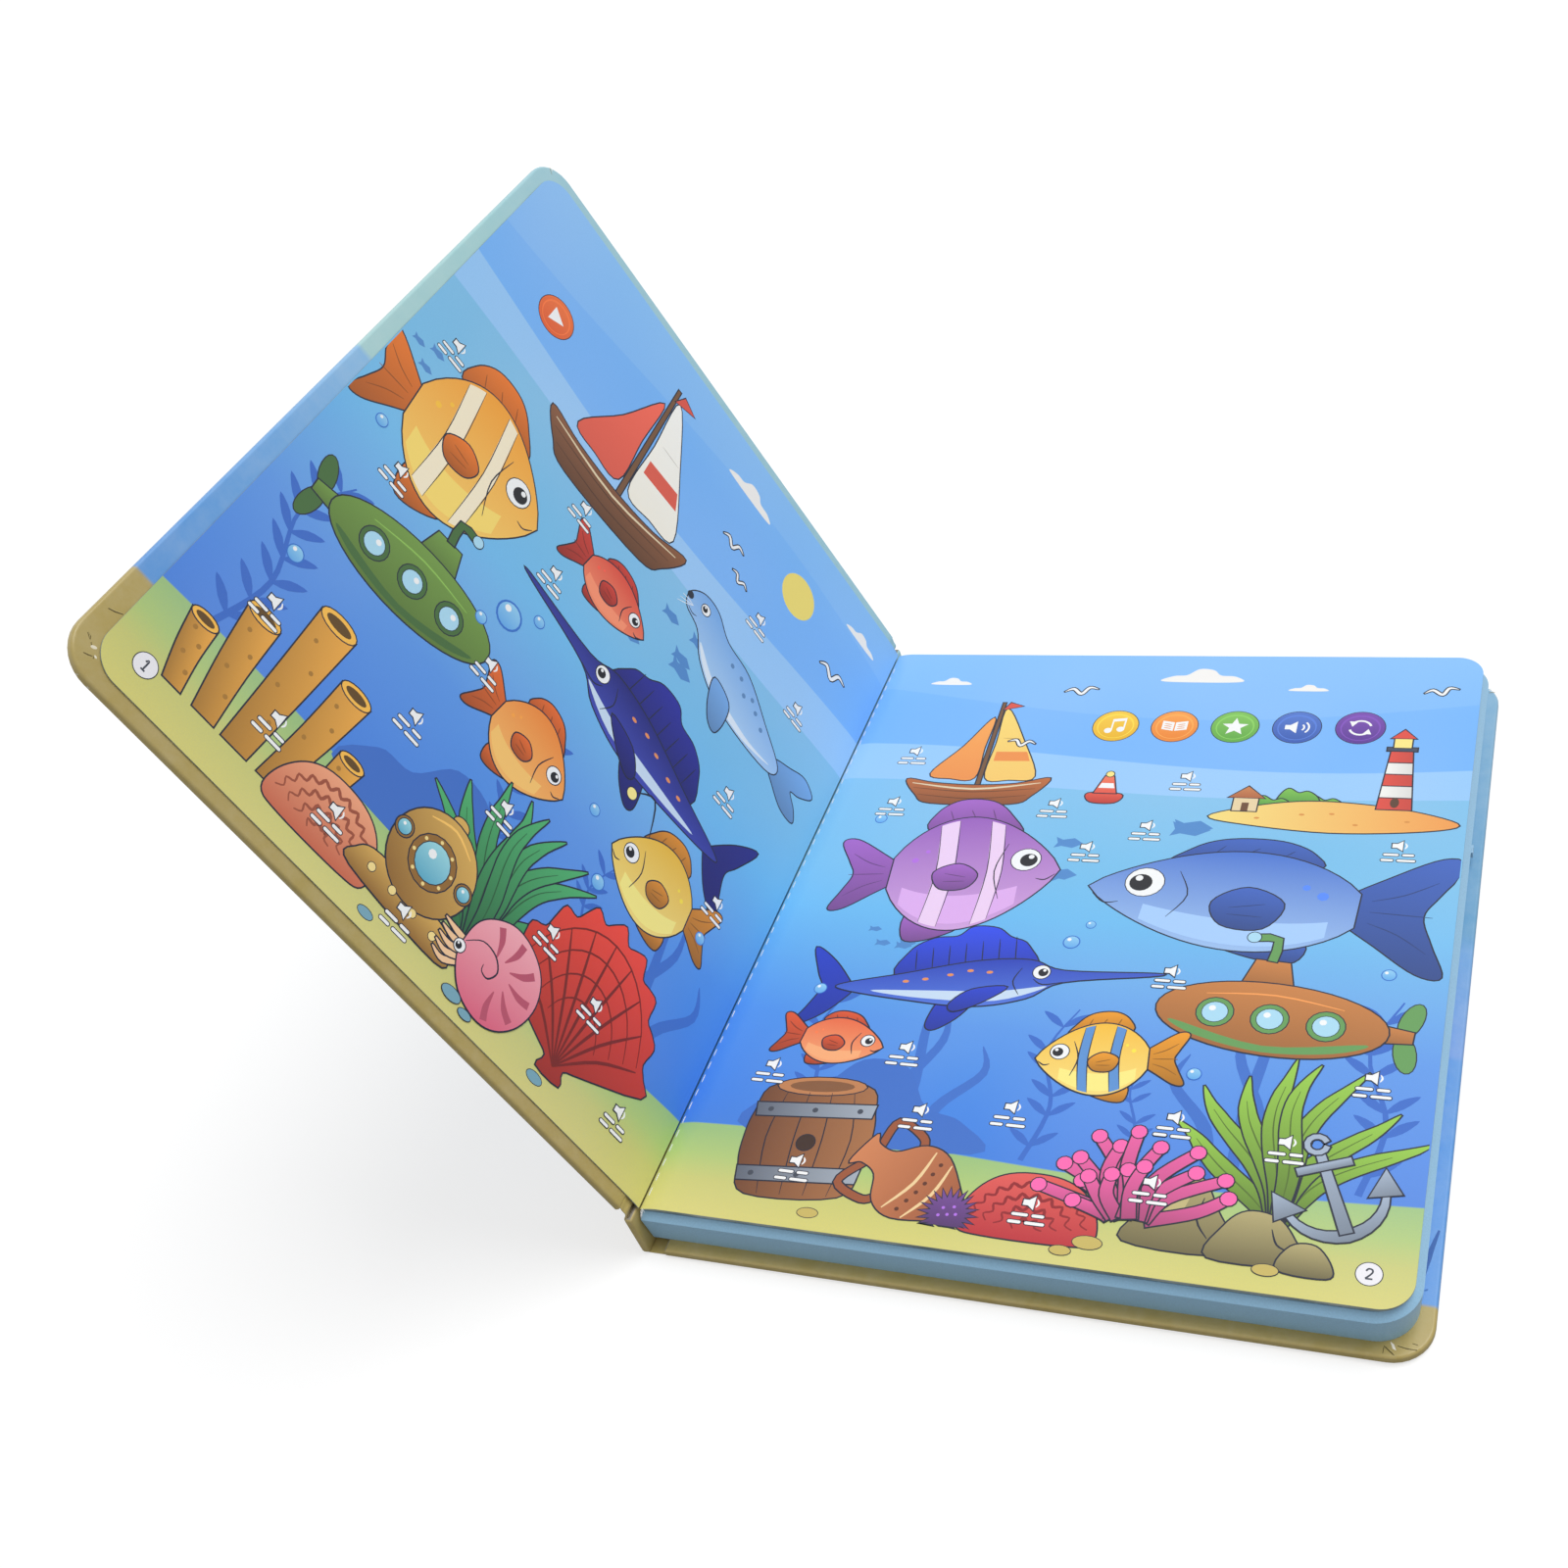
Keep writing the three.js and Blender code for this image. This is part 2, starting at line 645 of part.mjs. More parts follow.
screwPlaces.forEach((place, i) => {
  const screw = cylinder(place, screwHead, screwHeadTop - screwHeadHeight, screwHeadTop)
    .add(cylinder(place, screwShank, screwHeadTop - 0.1, screwHeadTop + screwLength))
    .subtract(box(place.x - screwHead / 2, place.x + screwHead / 2, place.y - 0.3, place.y + 0.3,
      0, screwHeadTop - screwHeadHeight / 2))
    .subtract(box(place.x - 0.3, place.x + 0.3, place.y - screwHead / 2, place.y + screwHead / 2,
      0, screwHeadTop - screwHeadHeight / 2));
  add(book, `case_screw_${i + 1}`, screw, finishes.steel);
});

// Battery door and its screw

const doorPlate = prism(
  roundedRectangle(door.x0, door.x1, door.y0, door.y1, doorRadius), wrapThickness, doorTop)
  .subtract(cylinder(doorScrewPlace, doorScrewHead + fitGap, 0, wrapThickness + doorThickness / 2))
  .subtract(cylinder(doorScrewPlace, doorScrewShank + fitGap, 0, doorTop + 1));
add(book, 'battery_door', doorPlate, finishes.bluePlastic);

const doorHeadTop = wrapThickness + doorThickness / 2;
const doorScrew = cylinder(doorScrewPlace, doorScrewHead, doorHeadTop - 0.5, doorHeadTop)
  .add(cylinder(doorScrewPlace, doorScrewShank, doorHeadTop - 0.1, floorTop + doorScrewLength - 2.2))
  .subtract(box(doorScrewPlace.x - 1.4, doorScrewPlace.x + 1.4, doorScrewPlace.y - 0.25,
    doorScrewPlace.y + 0.25, 0, doorHeadTop - 0.25));
add(book, 'battery_door_screw', doorScrew, finishes.steel);

// Cells, with springs at the gutter end and a plate at the other

const cellRadius = cellDiameter / 2;
const cellZ = doorTop + 0.1 + cellRadius;
const cellX0 = bay.x0 + springRoom;
const plateX = bay.x1 - plateRoom + 0.3;

function acrossX(radius, x0, x1, y, z) {
  const geometry = new THREE.CylinderGeometry(radius, radius, x1 - x0, roundSegments);
  geometry.rotateZ(Math.PI / 2);
  geometry.translate((x0 + x1) / 2, y, z);
  return solid(geometry);
}

class SpringCurve extends THREE.Curve {
  constructor(y) {
    super();
    this.y = y;
  }

  getPoint(t, target = new THREE.Vector3()) {
    const turns = 3;
    const coilRadius = 3.2 - 1.2 * t;
    const angle = 2 * Math.PI * turns * t;
    const x = bay.x0 + 0.9 + t * (springRoom - 1.6);
    return target.set(x, this.y + coilRadius * Math.cos(angle), cellZ + coilRadius * Math.sin(angle));
  }
}

for (let i = 0; i < cellCount; i += 1) {
  const y = bay.y0 + cellSpacing + cellRadius + i * (cellDiameter + cellSpacing);
  const can = acrossX(cellRadius, cellX0, cellX0 + cellLength - 1, y, cellZ)
    .add(acrossX(1.9, cellX0 + cellLength - 1.2, cellX0 + cellLength, y, cellZ));
  add(book, `battery_cell_${i + 1}`, can, finishes.cell);

  const wire = new THREE.Shape();
  wire.absarc(0, 0, 0.3, 0, 2 * Math.PI);
  const settings = { steps: 27, extrudePath: new SpringCurve(y), curveSegments: 2 };
  const spring = solid(new THREE.ExtrudeGeometry(wire, settings));
  add(book, `battery_spring_${i + 1}`, spring, finishes.contact);
}

const contactPlate = box(plateX, plateX + 0.4, bay.y0 + 1, bay.y1 - 1, cellZ - 4, cellZ + 4);
add(book, 'battery_contact_plate', contactPlate, finishes.contact);
const springPlate = box(bay.x0 + 0.05, bay.x0 + 0.3, bay.y0 + 1, bay.y1 - 1, cellZ - 4, cellZ + 4);
add(book, 'battery_spring_plate', springPlate, finishes.contact);

// Circuit board and what is on it

let circuitBoard = box(circuit.x0, circuit.x1, circuit.y0, circuit.y1, circuit.z0, circuit.z1);
pinPlaces.forEach((place) => {
  circuitBoard = circuitBoard.subtract(
    cylinder(place, circuitPin + fitGap, circuit.z0 - 1, circuit.z1 + 1, 12));
});
add(book, 'main_board', circuitBoard, finishes.circuit);

const chipPlace = { x: (circuit.x0 + circuit.x1) / 2, y: circuit.y0 + chipInset };
const chip = box(chipPlace.x - chipSize.x / 2, chipPlace.x + chipSize.x / 2,
  chipPlace.y - chipSize.y / 2, chipPlace.y + chipSize.y / 2, circuit.z1, circuit.z1 + chipSize.z);
add(book, 'control_chip', chip, finishes.chip);

const connectorX = circuit.x0 + 1;
const connectorTop = circuit.z1 + connectorSize.z;
const connector = box(connectorX, connectorX + connectorSize.x, switchPlace - connectorSize.y / 2,
  switchPlace + connectorSize.y / 2, circuit.z1, connectorTop)
  .subtract(box(connectorX - 1, connectorX + 4, switchPlace - connectorSize.y / 2 + 1,
    switchPlace + connectorSize.y / 2 - 1, circuit.z1 + 1, connectorTop - 0.7));
add(book, 'film_connector', connector, finishes.darkPlastic);

// The ribbon hangs from the film, goes down through the deck and turns into the connector.
const ribbonZ = circuit.z1 + ribbonLift;
const ribbonSection = [
  [ribbonX, leavesBottom],
  [ribbonX, ribbonZ],
  [connectorX + ribbonReach, ribbonZ],
  [connectorX + ribbonReach, ribbonZ + ribbonThickness],
  [ribbonX + ribbonThickness, ribbonZ + ribbonThickness],
  [ribbonX + ribbonThickness, leavesBottom],
];
const ribbon = drawnAlongY(
  ribbonSection, ribbonPlace.y - ribbonWidth / 2, ribbonPlace.y + ribbonWidth / 2);
add(book, 'film_ribbon', ribbon, finishes.film);

const switchX1 = circuit.x1 - 0.4;
const switchHousing = box(switchX1 - switchBody.x, switchX1, switchPlace - switchBody.y / 2,
  switchPlace + switchBody.y / 2, circuit.z1, circuit.z1 + switchBody.z);
add(book, 'switch_housing', switchHousing, finishes.darkPlastic);

// The knob's foot slides along the front of the switch, and its grip stands out of the slot.
const knobY1 = slotHigh - fitGap;
const knobHalfHeight = switchSlot.z / 2 - fitGap;
const knobOuterX = foreX + moduleFoot + (moduleRim - moduleFoot) / 2 + knobProud;
const knob = box(switchX1 + fitGap, knobOuterX, knobY1 - knobLength, knobY1,
  knobZ - knobHalfHeight, knobZ + knobHalfHeight);
add(book, 'power_switch_knob', knob, finishes.bluePlastic);

// Loudspeaker, standing on its magnet inside a rib of the tray

const magnetTop = floorTop + magnetHeight;
const flangeTop = magnetTop + basketDepth + basketSteel;
const magnet = cylinder(speakerCentre, magnetRadius, floorTop, magnetTop, roundSegments);
add(book, 'speaker_magnet', magnet, finishes.magnet);

const basket = turned(speakerCentre, [
  [coneHole, magnetTop],
  [magnetRadius, magnetTop],
  [speakerRadius - 3, magnetTop + basketDepth - basketSteel],
  [speakerRadius, magnetTop + basketDepth - basketSteel],
  [speakerRadius, flangeTop],
  [speakerRadius - basketSteel, flangeTop],
  [speakerRadius - basketSteel, magnetTop + basketDepth],
  [speakerRadius - 3.2, magnetTop + basketDepth],
  [magnetRadius - 0.2, magnetTop + basketSteel],
  [coneHole, magnetTop + basketSteel],
]);
add(book, 'speaker_frame', basket, finishes.steel);

const coneEdge = speakerRadius - basketSteel - fitGap;
const paper = 0.35;
const coneLow = magnetTop + basketSteel + fitGap;
const coneRim = magnetTop + basketDepth + 0.05;
const cone = turned(speakerCentre, [
  [0, coneLow + 0.8],
  [2, coneLow + 0.6],
  [4, coneLow],
  [magnetRadius + 1, coneLow + 0.55],
  [speakerRadius - coneRoll, coneRim + 0.35],
  [speakerRadius - 3, coneRim],
  [coneEdge, coneRim],
  [coneEdge, coneRim + paper],
  [speakerRadius - 3, coneRim + paper],
  [speakerRadius - coneRoll, coneRim + 0.35 + paper],
  [magnetRadius + 1, coneLow + 0.55 + paper],
  [4, coneLow + paper],
  [2, coneLow + 0.6 + paper],
  [0, coneLow + 0.8 + paper],
]);
add(book, 'speaker_cone', cone, finishes.cone);

// Leads along the floor of the tray

const leadZ = floorTop + leadRadius + leadLift;

function leadBetween(from, bends, to) {
  const corners = bends.map(([across, along]) => ({
    x: from.x + across * (to.x - from.x),
    y: from.y + along * (to.y - from.y),
  }));
  return lead([from, ...corners, to].map(({ x, y }) => [x, y, leadZ]));
}

const speakerLead = leadBetween(
  { x: speakerCentre.x + speakerRadius + speakerRib + 2 * fitGap + leadRadius, y: speakerCentre.y },
  speakerLeadBends,
  { x: circuit.x0 - leadRadius - fitGap, y: switchPlace + speakerLeadEnd });
add(book, 'speaker_lead', speakerLead, finishes.lead);

const batteryLead = leadBetween(
  { x: door.x1 + trayWall + leadRadius + fitGap, y: bayCentre.y + batteryLeadStart },
  batteryLeadBends,
  { x: circuit.x0 - leadRadius - fitGap, y: circuit.y0 + batteryLeadEnd });
add(book, 'battery_lead', batteryLead, finishes.lead);

export default book;
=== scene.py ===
"""Electronic talking book, open at its first pages, on a pale studio floor."""

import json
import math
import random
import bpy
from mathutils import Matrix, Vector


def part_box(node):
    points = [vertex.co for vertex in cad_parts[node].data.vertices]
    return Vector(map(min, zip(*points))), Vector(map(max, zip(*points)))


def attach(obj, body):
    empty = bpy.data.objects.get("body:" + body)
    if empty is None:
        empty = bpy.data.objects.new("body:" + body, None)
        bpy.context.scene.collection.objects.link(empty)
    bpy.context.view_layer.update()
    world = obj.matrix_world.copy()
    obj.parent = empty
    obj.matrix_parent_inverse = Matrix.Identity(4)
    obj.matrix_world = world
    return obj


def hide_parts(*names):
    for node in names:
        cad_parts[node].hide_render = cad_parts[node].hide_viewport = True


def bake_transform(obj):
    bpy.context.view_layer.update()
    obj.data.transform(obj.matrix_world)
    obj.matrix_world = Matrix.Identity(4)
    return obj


bl_info = {
    "name": "Electronic Talking Book",
    "version": (1, 0, 0),
    "blender": (4, 5, 0),
    "location": "View3D > Sidebar > Talking Book",
    "description": "Dresses a hard-cover sound book: print, leaves, wrap, thread and moulded plastic",
    "category": "Object",
}

import bpy
from bpy.props import FloatProperty, FloatVectorProperty, IntProperty, PointerProperty
from mathutils import Matrix, Vector, noise
from mathutils.geometry import tessellate_polygon

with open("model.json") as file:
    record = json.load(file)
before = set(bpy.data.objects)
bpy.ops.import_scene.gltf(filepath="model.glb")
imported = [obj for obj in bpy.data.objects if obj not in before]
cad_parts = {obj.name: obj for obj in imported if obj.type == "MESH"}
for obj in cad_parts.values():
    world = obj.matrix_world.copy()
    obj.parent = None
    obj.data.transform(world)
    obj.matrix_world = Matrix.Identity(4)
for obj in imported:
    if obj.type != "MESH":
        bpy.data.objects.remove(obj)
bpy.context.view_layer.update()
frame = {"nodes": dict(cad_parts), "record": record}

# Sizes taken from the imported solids, in millimetres
MM = 0.001


def node_box(node):
    low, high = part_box(node)
    return low / MM, high / MM


leaves_low, leaves_high = node_box("page_stack")
back_high = node_box("back_cover_wrap")[1]
door_low, door_high = node_box("battery_door")
film_high = node_box("touch_film")[1]

GUTTER = leaves_low.x
PAGE_WIDTH = leaves_high.x - leaves_low.x
HALF_PAGE = leaves_high.y
PAGE_HEIGHT = 2 * HALF_PAGE
LEAVES_TOP = leaves_high.z
LEAVES_BOTTOM = film_high.z
HALF_COVER = back_high.y
COVER_FORE = back_high.x
COVER_THICK = back_high.z
MARGIN = COVER_FORE - leaves_high.x

# Sizes of the cover's make-up, in millimetres
PAGE_RADIUS = 8.0
COVER_RADIUS = 10.0
SHEET = 0.35
WRAP = 0.3
FOLD_WIDTH = 6.0
GUTTER_DIP = 0.9
PAGE_ONE_DIP = 0.3
OPEN_ANGLE = 110.1
SPINE_LEAN = 2.6
PAGE_ONE_BACK = 0.45
COVER_BACK = 2.85
GROOVE = 4.7
BACK_GROOVE = 4.5
SPINE_PIVOT = Vector((-98.65, 0.0, 0.3))
SPINE_HALF = 1.15
SPINE_HEIGHT = 14.24
DOOR_GAP = 0.3
DOOR_RADIUS = 2.0

# Sizes of the print, in millimetres
SAND_HEIGHT = 32.0
EDGE_OF_PRINT = 0.4
LEVEL = 0.004
FIRST_LEVEL = 0.012
DISC_PITCH = 18.75
ICON_SIZE = 4.0
DASH_GAP = 0.9

cover_matrix = Matrix.Translation((GUTTER, 0, LEAVES_TOP)) @ Matrix.Rotation(math.radians(-OPEN_ANGLE), 4, "Y")
spine_matrix = Matrix.Translation(SPINE_PIVOT) @ Matrix.Rotation(math.radians(-SPINE_LEAN), 4, "Y")


def tint(red, green, blue):
    """Linear colour from display values of 0 to 255."""
    return tuple(((c / 255 + 0.055) / 1.055) ** 2.4 if c > 10 else c / 3295 for c in (red, green, blue))


def opaque(colour):
    return (*colour[:3], 1.0)


# Node helpers


def node(tree, kind, inputs=None, **settings):
    made = tree.nodes.new(kind)
    for key, value in settings.items():
        setattr(made, key, value)
    for key, value in (inputs or {}).items():
        if isinstance(value, bpy.types.NodeSocket):
            tree.links.new(value, made.inputs[key])
        else:
            made.inputs[key].default_value = value
    return made


def calc(tree, operation, a, b=0.0, clamp=False):
    return node(tree, "ShaderNodeMath", {0: a, 1: b}, operation=operation, use_clamp=clamp).outputs[0]


def mixed(tree, factor, a, b, blend="MIX"):
    made = node(tree, "ShaderNodeMix", {0: factor, 6: a, 7: b}, data_type="RGBA", blend_type=blend)
    return made.outputs[2]


def spread(tree, value, low, high, to_low=0.0, to_high=1.0):
    made = node(tree, "ShaderNodeMapRange", {0: value, 1: low, 2: high, 3: to_low, 4: to_high})
    return made.outputs[0]


def toned(tree, value, low, high):
    """A colour between low and high, where value runs about its middle."""
    return mixed(tree, spread(tree, value, 0.3, 0.7), opaque(tint(*low)), opaque(tint(*high)))


def ramp(tree, value, stops, interpolation="LINEAR"):
    made = node(tree, "ShaderNodeValToRGB", {0: value})
    made.color_ramp.interpolation = interpolation
    elements = made.color_ramp.elements
    while len(elements) < len(stops):
        elements.new(0.5)
    for element, (place, colour) in zip(elements, stops):
        element.position = place
        element.color = opaque(colour)
    return made.outputs[0]


def speckle(tree, vector, scale, detail=2.0, roughness=0.5):
    made = node(tree, "ShaderNodeTexNoise", {"Vector": vector, "Scale": scale, "Detail": detail,
                                             "Roughness": roughness})
    return made.outputs[0]


def group(name, inputs, outputs):
    """A new node group, with its input node and output node."""
    made = bpy.data.node_groups.new(name, "ShaderNodeTree")
    for title, kind, value in inputs:
        socket = made.interface.new_socket(title, in_out="INPUT", socket_type="NodeSocket" + kind)
        if value is not None:
            socket.default_value = value
    for title, kind in outputs:
        made.interface.new_socket(title, in_out="OUTPUT", socket_type="NodeSocket" + kind)
    return made, made.nodes.new("NodeGroupInput").outputs, made.nodes.new("NodeGroupOutput")


def use(tree, name, inputs):
    return node(tree, "ShaderNodeGroup", inputs, node_tree=bpy.data.node_groups[name]).outputs


def material(name, **settings):
    """A new material's tree, its Principled shader and its place. settings are the same all over it."""
    made = bpy.data.materials.new(name)
    made.use_nodes = True
    tree = made.node_tree
    shader = tree.nodes["Principled BSDF"]
    for key, value in settings.items():
        shader.inputs[key.replace("_", " ")].default_value = value
    return tree, shader, node(tree, "ShaderNodeTexCoord").outputs["Object"]


def brick_lines(tree, where, scale, width):
    """A mask that is white along the lines of a brick pattern."""
    return node(tree, "ShaderNodeTexBrick", {
        "Vector": where, "Scale": scale, "Mortar Size": width, "Color1": (0, 0, 0, 1), "Color2": (0, 0, 0, 1),
        "Mortar": (1, 1, 1, 1)}).outputs["Color"]


def bump(tree, shader, height, strength, distance):
    made = node(tree, "ShaderNodeBump", {"Height": height, "Strength": strength, "Distance": distance})
    tree.links.new(made.outputs[0], shader.inputs["Normal"])


def feed(tree, shader, **sockets):
    for key, value in sockets.items():
        tree.links.new(value, shader.inputs[key.replace("_", " ")])


# Shared effects


def make_fibre_group():
    """Paper fibres: a fine height and a faint change of tone."""
    tree, inputs, end = group(
        "Paper fibre", [("Vector", "Vector", None), ("Scale", "Float", 900.0)],
        [("Height", "Float"), ("Tone", "Float")])
    fine = speckle(tree, inputs["Vector"], inputs["Scale"], 4.0, 0.6)
    broad = speckle(tree, inputs["Vector"], calc(tree, "MULTIPLY", inputs["Scale"], 0.05), 3.0)
    tree.links.new(calc(tree, "ADD", calc(tree, "MULTIPLY", fine, 0.6), calc(tree, "MULTIPLY", broad, 0.4)),
                   end.inputs["Height"])
    tree.links.new(broad, end.inputs["Tone"])


def make_sea_group(colours):
    """The sea backdrop of the print: sky, a pale wave, water that deepens, and a sand bed."""
    tree, inputs, end = group(
        "Sea print", [("Across", "Float", 0.0), ("Up", "Float", 0.0), ("Vector", "Vector", None)],
        [("Color", "Color")])
    across, up = inputs["Across"], inputs["Up"]

    def wave(height, swell, length, shift):
        turned = calc(tree, "SINE", calc(tree, "ADD", calc(tree, "DIVIDE", across, length), shift))
        return calc(tree, "ADD", calc(tree, "MULTIPLY", turned, swell), height)

    def above(edge, soft=0.35):
        gap = calc(tree, "SUBTRACT", up, edge)
        return calc(tree, "DIVIDE", gap, soft, clamp=True)

    deep, middle, shallow, pale, sky, green, yellow = (opaque(c) for c in colours)
    water = ramp(tree, calc(tree, "DIVIDE", up, PAGE_HEIGHT), [
        (0.10, deep), (0.17, tint(72, 138, 232)), (0.30, tint(84, 152, 236)), (0.39, middle),
        (0.48, tint(111, 192, 243)), (0.57, shallow), (0.70, tint(130, 197, 239))])
    skies = ramp(tree, calc(tree, "DIVIDE", up, PAGE_HEIGHT), [
        (0.76, sky), (0.88, tint(121, 186, 254)), (1.0, tint(131, 194, 254))])
    sand = ramp(tree, calc(tree, "DIVIDE", up, SAND_HEIGHT), [
        (0.05, yellow), (0.34, tint(207, 208, 120)), (0.58, tint(180, 207, 122)), (0.85, green)])
    drift = speckle(tree, inputs["Vector"], 14.0, 1.0)
    picture = mixed(tree, above(wave(164.5, 1.8, 33.0, 0.9)), water, pale)
    picture = mixed(tree, above(wave(179.0, 4.2, 40.0, 1.2)), picture, skies)
    swell = calc(tree, "MULTIPLY", above(wave(207.0, 9.0, 52.0, 2.6)), 0.3)
    picture = mixed(tree, swell, picture, pale)
    bank = calc(tree, "SUBTRACT", 1.0, above(wave(27.0, 1.8, 31.0, 0.4)))
    picture = mixed(tree, bank, picture, sand)
    picture = mixed(tree, spread(tree, drift, 0.35, 0.65, 0.0, 0.05), picture, (1, 1, 1, 1))
    ink = speckle(tree, inputs["Vector"], 2600.0, 1.0)
    tree.links.new(mixed(tree, spread(tree, ink, 0.3, 0.7, 0.0, 0.045), picture, (0.05, 0.2, 0.5, 1)),
                   end.inputs["Color"])


def make_wear_group():
    """Rubbed film: white board shows in spots where the edge value is high, and fine scuffs dull it."""
    tree, inputs, end = group(
        "Laminate wear", [("Vector", "Vector", None), ("Edge", "Float", 0.0), ("Amount", "Float", 0.5)],
        [("Wear", "Float"), ("Scuff", "Float"), ("Height", "Float")])
    spots = speckle(tree, inputs["Vector"], 420.0, 5.0, 0.65)
    patches = speckle(tree, inputs["Vector"], 60.0, 2.0)
    reach = calc(tree, "ADD", calc(tree, "MULTIPLY", spots, 0.7), calc(tree, "MULTIPLY", patches, 0.5))
    limit = calc(tree, "SUBTRACT", 1.12, calc(tree, "MULTIPLY", inputs["Amount"],
                                               calc(tree, "MULTIPLY", inputs["Edge"], 0.75)))
    tree.links.new(calc(tree, "MULTIPLY", calc(tree, "SUBTRACT", reach, limit), 14.0, clamp=True),
                   end.inputs["Wear"])
    scuffs = speckle(tree, inputs["Vector"], 160.0, 6.0, 0.7)
    tree.links.new(spread(tree, scuffs, 0.35, 0.75), end.inputs["Scuff"])
    tree.links.new(calc(tree, "ADD", calc(tree, "MULTIPLY", patches, 0.7), calc(tree, "MULTIPLY", spots, 0.3)),
                   end.inputs["Height"])


def make_grain_group():
    """Spark-eroded grain of a moulded face."""
    tree, inputs, end = group(
        "Moulded grain", [("Vector", "Vector", None), ("Scale", "Float", 2200.0)],
        [("Height", "Float"), ("Sheen", "Float"), ("Tone", "Float")])
    cells = node(tree, "ShaderNodeTexVoronoi", {"Vector": inputs["Vector"], "Scale": inputs["Scale"]},
                 feature="SMOOTH_F1").outputs["Distance"]
    fine = speckle(tree, inputs["Vector"], inputs["Scale"], 3.0)
    broad = speckle(tree, inputs["Vector"], 45.0, 2.0)
    tree.links.new(calc(tree, "ADD", calc(tree, "MULTIPLY", cells, 0.5), fine), end.inputs["Height"])
    tree.links.new(spread(tree, broad, 0.3, 0.7), end.inputs["Sheen"])
    tree.links.new(spread(tree, fine, 0.3, 0.7), end.inputs["Tone"])


def make_materials(settings):
    """Every finish of the book, by name."""
    shades = settings.print_colours
    make_fibre_group()
    make_sea_group([shades.deep, shades.middle, shades.shallow, shades.pale, shades.sky, shades.sand_green,
                    shades.sand_yellow])
    make_wear_group()
    make_grain_group()

    def page_backdrop(name, direction):
        tree, shader, where = material(name, Coat_Weight=0.12, Coat_Roughness=0.28, Specular_IOR_Level=0.35)
        flat = node(tree, "ShaderNodeSeparateXYZ",
                    {0: node(tree, "ShaderNodeUVMap", uv_map="print").outputs[0]}).outputs
        sea = use(tree, "Sea print", {"Across": calc(tree, "MULTIPLY", flat[0], direction * PAGE_WIDTH),
                                      "Up": calc(tree, "MULTIPLY", flat[1], PAGE_HEIGHT), "Vector": where})
        fibre = use(tree, "Paper fibre", {"Vector": where, "Scale": 1100.0})
        feed(tree, shader, Base_Color=sea["Color"],
             Roughness=spread(tree, fibre["Tone"], 0.3, 0.7, 0.34, 0.46))
        bump(tree, shader, fibre["Height"], 0.16, 0.00004)

    page_backdrop("page one print", -1.0)
    page_backdrop("page two print", 1.0)

    tree, shader, where = material("printed ink", Coat_Weight=0.12, Coat_Roughness=0.28, Specular_IOR_Level=0.35)
    ink = node(tree, "ShaderNodeVertexColor", layer_name="ink").outputs[0]
    fibre = use(tree, "Paper fibre", {"Vector": where, "Scale": 1100.0})
    dots = speckle(tree, where, 2400.0, 1.0)
    feed(tree, shader,
         Base_Color=mixed(tree, spread(tree, dots, 0.3, 0.7, 0.0, 0.06), ink, (0.9, 0.9, 0.9, 1), "MULTIPLY"),
         Roughness=spread(tree, fibre["Tone"], 0.3, 0.7, 0.34, 0.46))
    bump(tree, shader, fibre["Height"], 0.16, 0.00004)

    tree, shader, where = material("cut paper edge with painted shade", Roughness=0.8, Specular_IOR_Level=0.2)
    fibre = use(tree, "Paper fibre", {"Vector": where, "Scale": 1800.0})
    # The edge's greys are painted shade: the shadow in the gap under the top leaf and against the module, darker than
    # the white paper's own edge. The fibre tone moves it between the two greys.
    feed(tree, shader, Base_Color=toned(tree, fibre["Tone"], (120, 136, 138), (172, 182, 180)))
    bump(tree, shader, fibre["Height"], 0.5, 0.00008)

    def wrap(name, stops, fold_edge):
        tree, shader, where = material(name, Coat_Weight=0.22, Coat_Roughness=0.3, Specular_IOR_Level=0.4)
        up = calc(tree, "DIVIDE", calc(tree, "ADD", node(
            tree, "ShaderNodeSeparateXYZ", {0: where}).outputs[1], HALF_COVER * MM), 2 * HALF_COVER * MM)
        wobble = calc(tree, "MULTIPLY", calc(tree, "SUBTRACT", speckle(tree, where, 18.0, 1.0), 0.5), 0.02)
        fields = ramp(tree, calc(tree, "ADD", up, wobble), stops)
        edge = node(tree, "ShaderNodeAttribute", attribute_name="edge").outputs["Fac"]
        worn = use(tree, "Laminate wear", {"Vector": where, "Edge": edge, "Amount": fold_edge})
        rubbed = mixed(tree, worn["Wear"], fields, opaque(tint(232, 229, 216)))
        rubbed = mixed(tree, spread(tree, worn["Scuff"], 0.0, 1.0, 0.0, 0.09), rubbed, (1, 1, 0.9, 1))
        feed(tree, shader, Base_Color=rubbed, Roughness=spread(tree, worn["Scuff"], 0.0, 1.0, 0.33, 0.55))
        bump(tree, shader, worn["Height"], 0.35, 0.0002)

    gold, blue = settings.cover_colours.gold, settings.cover_colours.blue
    light, pale = tint(139, 190, 232), tint(171, 212, 214)
    wrap("front wrap print", [(0.0, gold), (0.121, gold), (0.123, blue), (0.3, tint(104, 165, 226)),
                              (0.526, light), (0.529, pale), (0.8, tint(163, 210, 214)),
                              (1.0, tint(158, 205, 219))], settings.cover_colours.wear)
    wrap("back wrap print", [(0.0, gold), (0.060, gold), (0.062, blue), (0.36, blue),
                             (0.365, tint(118, 160, 222)), (0.52, tint(110, 164, 216)),
                             (0.55, tint(99, 159, 199)), (1.0, tint(130, 178, 209))],
         settings.cover_colours.wear)
    upper = [(0.118, gold), (0.121, blue), (0.5, tint(100, 162, 222)), (0.53, tint(150, 200, 220)),
             (1.0, tint(158, 205, 219))]
    wrap("spine wrap print", [(0.0, gold)] + upper, settings.cover_colours.wear)
    # The cloth's gold is raised by 1.15 as painted light: the upward-facing groove at the hinge is brighter where the
    # lamp falls on it.
    wrap("joint cloth print with painted light", [(0.0, tuple(c * 1.15 for c in gold))] + upper, 0.3)

